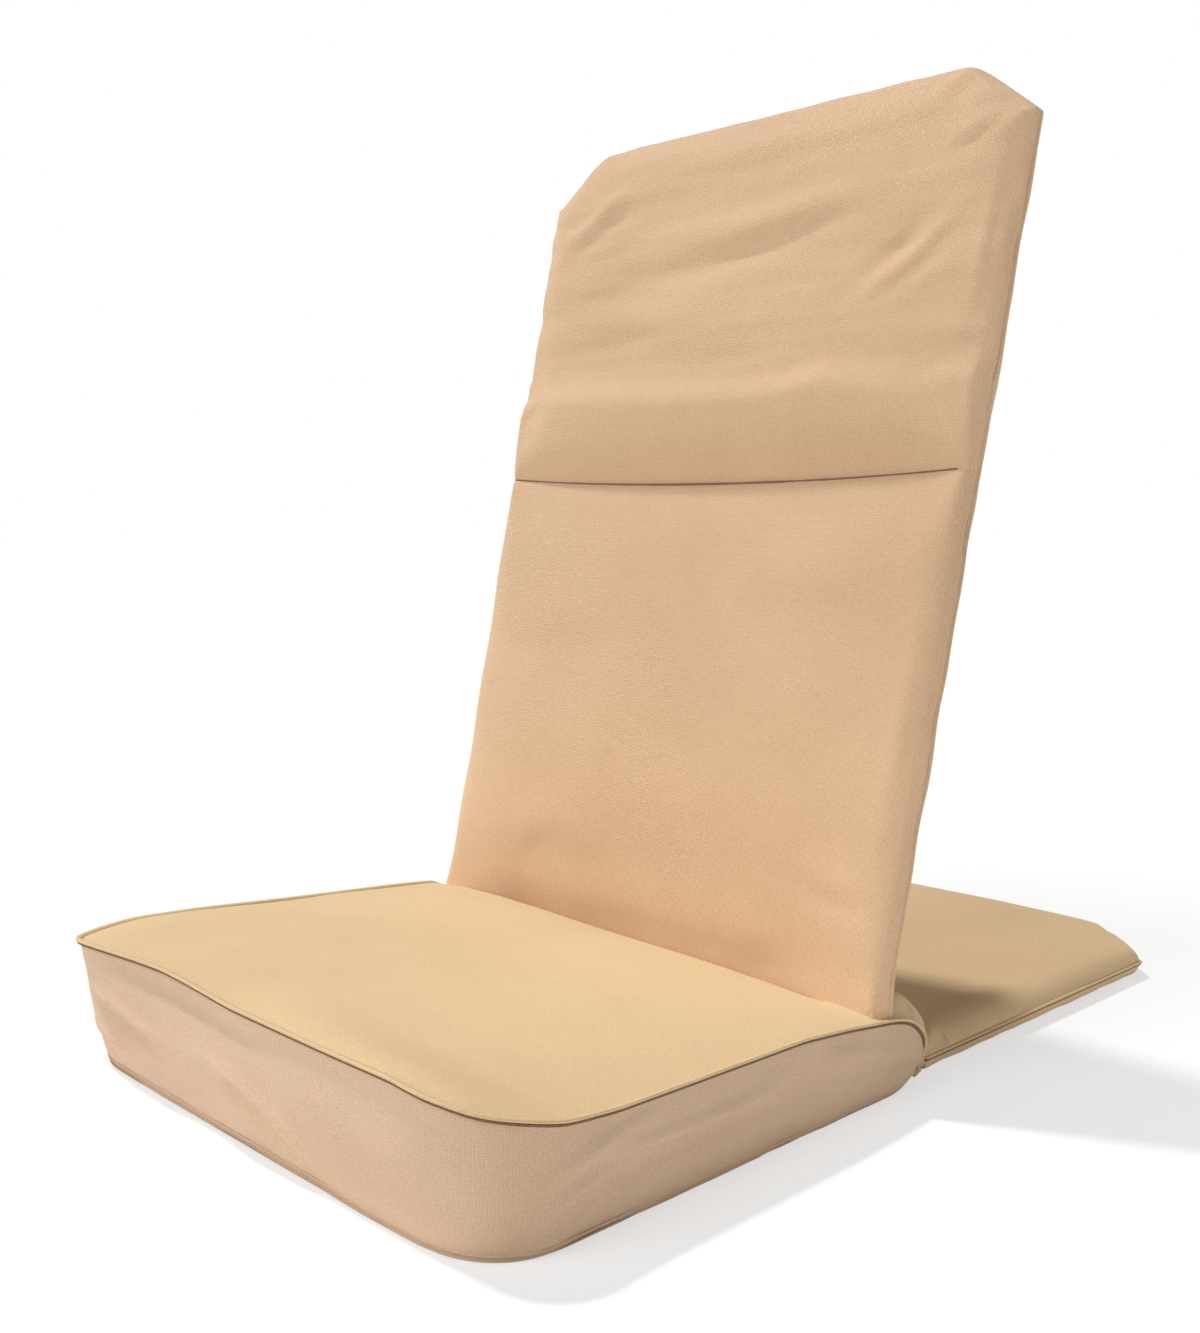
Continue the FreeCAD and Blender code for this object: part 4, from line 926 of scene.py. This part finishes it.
def build_pad():
    """The thin pad behind: a rim over its tube, a sag inside it, and a seam half way down."""
    across = spread(-PAD_HALF, PAD_HALF, PITCH, FINE)
    along = spread(0.0, PAD_REAR - PAD_FRONT, PITCH, FINE) / (PAD_REAR - PAD_FRONT)
    x = across[:, None] + 0.0 * along[None, :]
    cut = cut_off(x, PAD_HALF, PAD_CUT_X, PAD_CUT_Y)
    y = PAD_FRONT + (PAD_REAR - PAD_FRONT - cut) * along[None, :]
    inside = edge_distance(x, y, PAD_HALF, PAD_REAR, PAD_CUT_X, PAD_CUT_Y)
    inside = np.minimum(inside, y - PAD_FRONT)
    half_height = PAD_HEIGHT - PAD_SEAM_HEIGHT
    top = PAD_SEAM_HEIGHT + (half_height - roll(inside, PAD_ROLL) * half_height / PAD_ROLL)
    top -= PAD_SAG * smooth(*PAD_SAG_SPAN, inside)
    rise = PAD_SEAM_HEIGHT - PAD_SEAM_GAP
    low = roll(inside, PAD_FOOT_ROLL) * rise / PAD_FOOT_ROLL + PAD_CLEAR
    upper = np.stack([x, y, top], 2)
    lower = np.stack([x, y, low], 2)
    ring = along_loop(upper, edge_loop(*x.shape)) - UPWARD * PAD_SEAM_GAP / 2.0
    piece, lines = pillow("rear_pad", upper, [ring], lower)
    return piece, lines[0], x.size


rear_pad, pad_seam, pad_size = build_pad()
cover(rear_pad, pad_canvas, under_canvas, painted_seam_shade)
settle(rear_pad, pad_seam + list(range(pad_size, 2 * pad_size)), pressure=1.0, cap=3.0)
pad_line = points_of(rear_pad)[pad_seam]
ripple(rear_pad, height=0.9, size=(90, 90, 40), seed=8, mask=by_height(8, 16))
ripple(rear_pad, height=0.9, size=(26, 26, 16), seed=21, mask=by_height(13, 9))
PAD_FOLDS = (
    # (line, height, width): at the near front corner, on the top and at the two rear corners
    (((208, 20, 20), (202, 34, 22), (190, 44, 22)), 1.6, 4),
    (((212, 36, 16), (206, 46, 21), (196, 54, 22)), -0.8, 3.5),
    (((120, 60, 20), (150, 50, 20), (190, 56, 20)), 1.4, 8),
    (((208, 330, 14), (190, 350, 20), (160, 368, 21)), 1.2, 7),
    (((-208, 330, 14), (-180, 352, 20), (-140, 366, 21)), 1.2, 7),
)
for line, height, width in PAD_FOLDS:
    fold(rear_pad, line, height, width)
pad_out = level_outward(pad_line)
PAD_LIP = ((-1.5, -0.6), (0.5, -0.5), (1.9, 0), (2.2, 0.7), (1.7, 1.4), (0.4, 1.5), (-1.2, 1.4))
# A dark strip under the pad's lip: painted shade in the seam's crevice
PAD_SEAM_SHADE = ((-1, -2), (0.8, -1.9), (1.3, -1.2), (1.2, -0.4), (-1, -0.3))
add_trim(rear_pad, strip("pad_seam", pad_line, PAD_LIP, pad_out), 0)
add_trim(rear_pad, strip("pad_seam_shade", pad_line, PAD_SEAM_SHADE, pad_out), 2)
dress(rear_pad, "base", ("pad_cover_top", "pad_cover_bottom", "pad_foam"))

# ---- Backrest ----


def panel(x, u, w):
    """The place in the row frame of a place on the leaning backrest."""
    y = PIVOT_Y + u * math.sin(RECLINE) - w * math.cos(RECLINE)
    z = PIVOT_Z + u * math.cos(RECLINE) + w * math.sin(RECLINE)
    return np.stack([x + 0.0 * y, y, z], -1)


def back_seam_at(x):
    """The stitched seam's place up the panel: lowest in the middle."""
    return BACK_SEAM + BACK_SEAM_RISE * (x / BACK_HALF) ** 2


# The pleat above the seam: (x, how far up the panel its ridge is)
PLEAT = (
    (-216, 409), (-192, 417), (-130, 415), (-60, 410), (24, 408), (70, 410), (102, 416),
    (140, 408), (175, 404), (203, 411), (216, 412),
)
# How far the ridge stands out, what is left of that above it, and over what length it falls away
PLEAT_DEPTH = 14
PLEAT_REST = 3.5
PLEAT_FALL = 17
# Much of that rest fades away too, between these distances past the ridge
PLEAT_FADE = 0.8
PLEAT_FADE_SPAN = (10, 110)
# The backrest's foot keeps its shape up to here
FOOT_HELD = 30
# Its seam keeps its shape this far to both sides
SEAM_HELD = 5
# Crowns of the two panels, and depth and reach of the groove on each side of the seam
LOW_CROWN, LOW_GROOVE, LOW_GROOVE_REACH = 4.2, 4.2, 5
HIGH_CROWN, HIGH_GROOVE, HIGH_GROOVE_REACH = 1.4, 4.6, 6
# What is left of the lower panel's groove, and of the upper panel's relief, at the sides
LOW_LEFT, HIGH_LEFT = 0.3, 0.35
# The tuck at the foot fades out between these x and these u
TUCK_X, TUCK_U = (120, 196), (8, 50)
# The rear's hollow starts and has its full depth this far inside the outline
HOLLOW_SPAN = (56, 96)
# The edge's rings: (share of the way from front to rear, reach out of the outline)
RIM = (
    (0.12, 0.7), (0.26, 1.3), (0.38, 1.2), (0.44, 0.2), (0.5, 1.4), (0.56, 0), (0.64, 1.2),
    (0.78, 2), (0.92, 1.2),
)


def front_depth(x, u):
    """Depth of the front face: a firm pad below the seam, looser cloth above it."""
    side = 1.0 - np.abs(x / BACK_HALF) ** 4
    seam = back_seam_at(x)
    low_share = np.clip((u - BACK_START) / (seam - BACK_START), 0.0, 1.0)
    low = BACK_FRONT + LOW_CROWN * side * (1.0 - np.abs(2.0 * low_share - 1.0) ** 6)
    groove = np.exp(-(np.maximum(seam - u, 0.0) / LOW_GROOVE_REACH))
    low -= LOW_GROOVE * groove * (LOW_LEFT + (1.0 - LOW_LEFT) * side)
    middle = 1.0 - smooth(*TUCK_X, np.abs(x))
    low -= BACK_FOOT_TUCK * middle * (1.0 - smooth(*TUCK_U, u))
    high_share = np.clip((u - seam) / (BACK_TOP - seam), 0.0, 1.0)
    high = BACK_FRONT + HIGH_CROWN * side * np.sin(math.pi * high_share)
    ridge = height_at(PLEAT, x)
    up = np.clip((u - seam) / (ridge - seam), 0.0, 1.0)
    past = smooth(ridge, ridge + PLEAT_FALL, u)
    rise = PLEAT_DEPTH * up**0.75 * (1.0 - past) + PLEAT_REST * past
    painted_shade = 1.0 - PLEAT_FADE * smooth(*PLEAT_FADE_SPAN, u - ridge)
    groove = np.exp(-(np.maximum(u - seam, 0.0) / HIGH_GROOVE_REACH))
    high += (rise * painted_shade - HIGH_GROOVE * groove) * (HIGH_LEFT + (1.0 - HIGH_LEFT) * side)
    return np.where(u < seam, low, high)


def build_back():
    """The backrest's cover: front, rolled edges with their seam, and rear."""
    across = spread(-BACK_HALF, BACK_HALF, PITCH, FINE)
    full = BACK_TOP - BACK_START
    seam_at = BACK_SEAM - BACK_START
    low = spread(0.0, seam_at, PITCH, FINE)
    high = spread(0.0, full - seam_at, PITCH, FINE) + seam_at
    along = np.concatenate([low, high[1:]]) / full
    x = across[:, None] + 0.0 * along[None, :]
    cut = cut_off(x, BACK_HALF, BACK_CUT_X, BACK_CUT_U)
    seam_share = seam_at / full
    u = BACK_START + full * along[None, :]
    past_seam = along[None, :] - seam_share
    above = smooth(0.0, 1.0, past_seam / (1.0 - seam_share)) * (past_seam > 0.0)
    at_seam = np.exp(-((past_seam * full / SEAM_BOW_REACH) ** 2))
    u = u + (back_seam_at(x) - BACK_SEAM) * at_seam - cut * above
    inside = edge_distance(x, u, BACK_HALF, BACK_TOP, BACK_CUT_X, BACK_CUT_U)
    foot_roll = roll(np.maximum(u - BACK_START, 0.0), BACK_FOOT_ROLL)
    front = front_depth(x, u) - np.maximum(roll(inside, BACK_EDGE_ROLL), foot_roll)
    rear_inside = np.minimum(inside, u - BACK_START)
    hollow = BACK_HOLLOW * smooth(*HOLLOW_SPAN, rear_inside)
    rear = -BACK_REAR + roll(rear_inside, BACK_REAR_ROLL) + hollow
    upper = panel(x, u, front)
    lower = panel(x, u, rear)
    loop = edge_loop(*x.shape)
    edge_x, edge_u, near, far = (along_loop(grid, loop) for grid in (x, u, front, rear))
    out = level_outward(np.stack([edge_x, edge_u, 0.0 * edge_x], 1))
    rings = []
    for share, reach in RIM:
        depth = near + (far - near) * share
        rings.append(panel(edge_x + out[:, 0] * reach, edge_u + out[:, 1] * reach, depth))
    piece, lines = pillow("back_cushion", upper, rings, lower)
    at_seam = np.abs(u - back_seam_at(x)) < SEAM_HELD
    held = list(np.flatnonzero(at_seam | (u < FOOT_HELD))) + lines[0]
    return piece, held + list(range(x.size, len(piece.data.vertices)))


back, back_held = build_back()
cover(back, back_canvas, painted_seam_shade)
settle(back, back_held, pressure=1.6, cap=3.5)
for side in (-BACK_HALF, BACK_HALF):
    # The cover stands out over the heads of the pivot bolts
    pinch(back, panel(side, 4, 0), reach=15, depth=-2.6)


# How far out of the panel's plane the lines of its folds lie
FOLDS_OUT = 13
# A mask of the front takes this length to rise, and starts between these places out of the plane
MASK_RISE = 25
MASK_OUT = (2, 9)


def panel_line(*places):
    """A line on the backrest's front from (x, u) places."""
    return [panel(float(x), float(u), FOLDS_OUT) for x, u in places]


def on_front(low, high):
    """A mask for the front of the backrest between two places up the panel."""

    def mask(points):
        """How much of a ripple each point takes."""
        y, z = points[:, 1] - PIVOT_Y, points[:, 2] - PIVOT_Z
        up = y * math.sin(RECLINE) + z * math.cos(RECLINE)
        out = z * math.sin(RECLINE) - y * math.cos(RECLINE)
        ends = smooth(low, low + MASK_RISE, up) * smooth(high, high - MASK_RISE, up)
        return ends * smooth(*MASK_OUT, out)

    return mask


# (height, size on each axis, seed, from how far up the panel, to how far)
BACK_RIPPLES = (
    (2.4, (150, 60, 26), 2, 420, 628),
    (1.1, (70, 40, 11), 5, 412, 620),
    (1.3, (120, 60, 60), 14, 20, 345),
)
for height, size, seed, low, high in BACK_RIPPLES:
    ripple(back, height, size, seed, on_front(low, high))
everywhere_else = 1.0 - on_front(-50.0, 900.0)(points_of(back))
ripple(back, 1.4, (30, 30, 34), 31, lambda points: everywhere_else)

BACK_FOLDS = (
    # (places, height, width): creases at the pleat, then pulls further up, then the lower panel
    (((-214, 398), (-186, 396), (-150, 400), (-110, 397)), 2.4, 5),
    (((-210, 388), (-170, 386), (-120, 388)), -1.4, 5),
    (((64, 402), (71, 408), (80, 418)), 2, 2.6),
    (((70, 400), (78, 408), (86, 417)), -1.8, 2.6),
    (((92, 402), (98, 409), (104, 418)), 1.8, 2.4),
    (((98, 400), (104, 408), (110, 417)), -1.6, 2.4),
    (((88, 382), (104, 390), (124, 399)), 1.2, 4),
    (((130, 396), (160, 399), (200, 412)), -2, 5),
    (((-60, 437), (-5, 436), (60, 440)), -2, 7),
    (((-190, 462), (-140, 463), (-60, 458), (0, 455)), -2, 7),
    (((-190, 478), (-120, 480), (-30, 474), (40, 474)), 1.8, 10),
    (((-170, 507), (-142, 509), (-28, 510), (54, 524), (165, 543)), -2.8, 10),
    (((-180, 530), (-110, 528), (-10, 533), (80, 548), (160, 562)), 2, 11),
    (((-205, 536), (-185, 549), (-160, 563), (-138, 578), (-100, 586)), 2.4, 7),
    (((-200, 524), (-170, 540), (-140, 556), (-100, 566)), -1.8, 8),
    (((-90, 590), (0, 594), (90, 598)), 1.4, 10),
    (((96, 460), (122, 475), (153, 495), (178, 522), (192, 540)), 3.2, 5),
    (((90, 472), (116, 488), (144, 508), (166, 534)), -2.6, 7),
    (((134, 474), (158, 486), (186, 502)), -2, 5),
    (((136, 466), (162, 476), (190, 492)), 1.4, 6),
    (((160, 560), (184, 570), (208, 584)), -1.8, 5),
    (((160, 568), (184, 578), (206, 590)), 1.4, 5),
    (((196, 430), (201, 470), (202, 520), (203, 570)), 1.6, 5),
    (((200, 60), (201, 130), (202, 220), (202, 300)), 1.2, 6),
    (((120, 84), (165, 68), (214, 62)), -1.3, 8),
    (((130, 98), (170, 84), (214, 80)), 1, 9),
    (((-205, 210), (-120, 225), (-20, 215)), -1.2, 16),
    (((20, 240), (110, 262), (190, 250)), -1.4, 18),
    (((-190, 60), (-110, 80), (0, 70)), 1.4, 18),
)
BACK_FOLD_GAIN = 1.15
for places, height, width in BACK_FOLDS:
    fold(back, panel_line(*places), BACK_FOLD_GAIN * height, width, taper=0.45)


BACK_OUTWARD = np.array([0.0, -math.cos(RECLINE), math.sin(RECLINE)])
GROOVE_ENDS = (-211.5, 208.5)
GROOVE_OUT = 8


def groove_line():
    """Points along the bottom of the groove of the backrest's seam."""
    points = points_of(back)
    line = []
    for x in np.linspace(*GROOVE_ENDS, 120):
        middle = panel(x, back_seam_at(x), GROOVE_OUT)
        gap = np.linalg.norm(points - middle, axis=1)
        line.append(middle + BACK_OUTWARD * (BACK_OUTWARD @ (points[np.argmin(gap)] - middle)))
    line = np.array(line)
    line[2:-2] = (line[:-4] + line[1:-3] + line[2:-2] + line[3:-1] + line[4:]) / 5.0
    return line


# A dark strip along the bottom of the seam's groove: painted shade
BACK_SEAM_SHADE = ((-1.5, -0.7), (0.3, -0.6), (0.7, 0), (0.3, 0.6), (-1.5, 0.7))
add_trim(back, strip("back_seam_shade", groove_line(), BACK_SEAM_SHADE, BACK_OUTWARD, closed=False), 1)
dress(
    back,
    "backrest",
    (
        "back_cover_lower", "back_cover_upper", "back_cover_rear", "back_foam_lower",
        "back_foam_upper",
    ),
)

# ---- Camera, floor and light ----

# Fitted to the outline in the photograph. Behind points from the view back to the camera.
CAMERA_PLACE = (0.7215, -0.8176, 0.3738)
CAMERA_BEHIND = (0.7217, -0.6683, 0.1805)
CAMERA_LENS = 39.3
CAMERA_SHIFT = (0.0465, 0.0869)
FLOOR_HALF = 20000
FLOOR_Z = -0.4
# How much of the floor is plain white where the camera sees it
FLOOR_GLOW = 0.6
# (name, strength, direction, width in degrees)
SUNS = (
    ("key", 2.2, (0.486, 0.062, -0.872), 4),
    ("front_fill", 1.05, (0.42, 0.86, -0.30), 30),
    ("side_fill", 0.8, (-0.95, -0.10, -0.25), 40),
    ("high_fill", 0.65, (0.1, 0.6, -0.79), 20),
)
# Strength of the sky as a lamp, and where it is seen, mirrored or looked through
SKY_LIGHT, SKY_SEEN = 0.16, 1

camera = place_object("camera", bpy.data.cameras.new("camera"))
camera.location = CAMERA_PLACE
camera.rotation_euler = Vector(CAMERA_BEHIND).to_track_quat("Z", "Y").to_euler()
camera.data.lens = CAMERA_LENS
camera.data.sensor_width = 36.0
camera.data.shift_x, camera.data.shift_y = CAMERA_SHIFT
bpy.context.scene.camera = camera

floor_corners = [
    (x * FLOOR_HALF, y * FLOOR_HALF, FLOOR_Z) for x, y in ((-1, -1), (1, -1), (1, 1), (-1, 1))
]
floor = cloth_object("floor", floor_corners, [(0, 1, 2, 3)])
floor_paint, floor_tree, floor_shader = new_material(
    "pale_floor", {"Roughness": 0.9, "Base Color": (0.96, 0.96, 0.96, 1.0)}
)
floor_rays = add_node(floor_tree, "LightPath")
floor_mix = add_node(
    floor_tree,
    "MixShader",
    {
        "Fac": result(floor_tree, "MULTIPLY", floor_rays.outputs["Is Camera Ray"], FLOOR_GLOW),
        1: floor_shader.outputs["BSDF"],
        2: add_node(floor_tree, "Emission").outputs["Emission"],
    },
)
connect(floor_tree, floor_tree.nodes["Material Output"], {"Surface": floor_mix.outputs["Shader"]})
cover(floor, floor_paint)

for name, power, direction, width in SUNS:
    lamp = place_object(name, bpy.data.lights.new(name, "SUN"))
    lamp.data.energy = power
    lamp.data.angle = math.radians(width)
    lamp.rotation_euler = (-Vector(direction)).to_track_quat("Z", "Y").to_euler()

world = bpy.data.worlds.new("studio")
world.use_nodes = True
bpy.context.scene.world = world
sky = world.node_tree
rays = add_node(sky, "LightPath")
seen = rays.outputs["Is Camera Ray"]
for kind in ("Is Glossy Ray", "Is Transmission Ray"):
    seen = result(sky, "ADD", seen, rays.outputs[kind])
span = {"To Min": SKY_LIGHT, "To Max": SKY_SEEN}
brightness = add_node(sky, "MapRange", {"Value": seen, **span}).outputs["Result"]
white = {"Color": (1.0, 1.0, 1.0, 1.0), "Strength": brightness}
connect(sky, sky.nodes["Background"], white)

bpy.context.scene.view_settings.view_transform = "Standard"
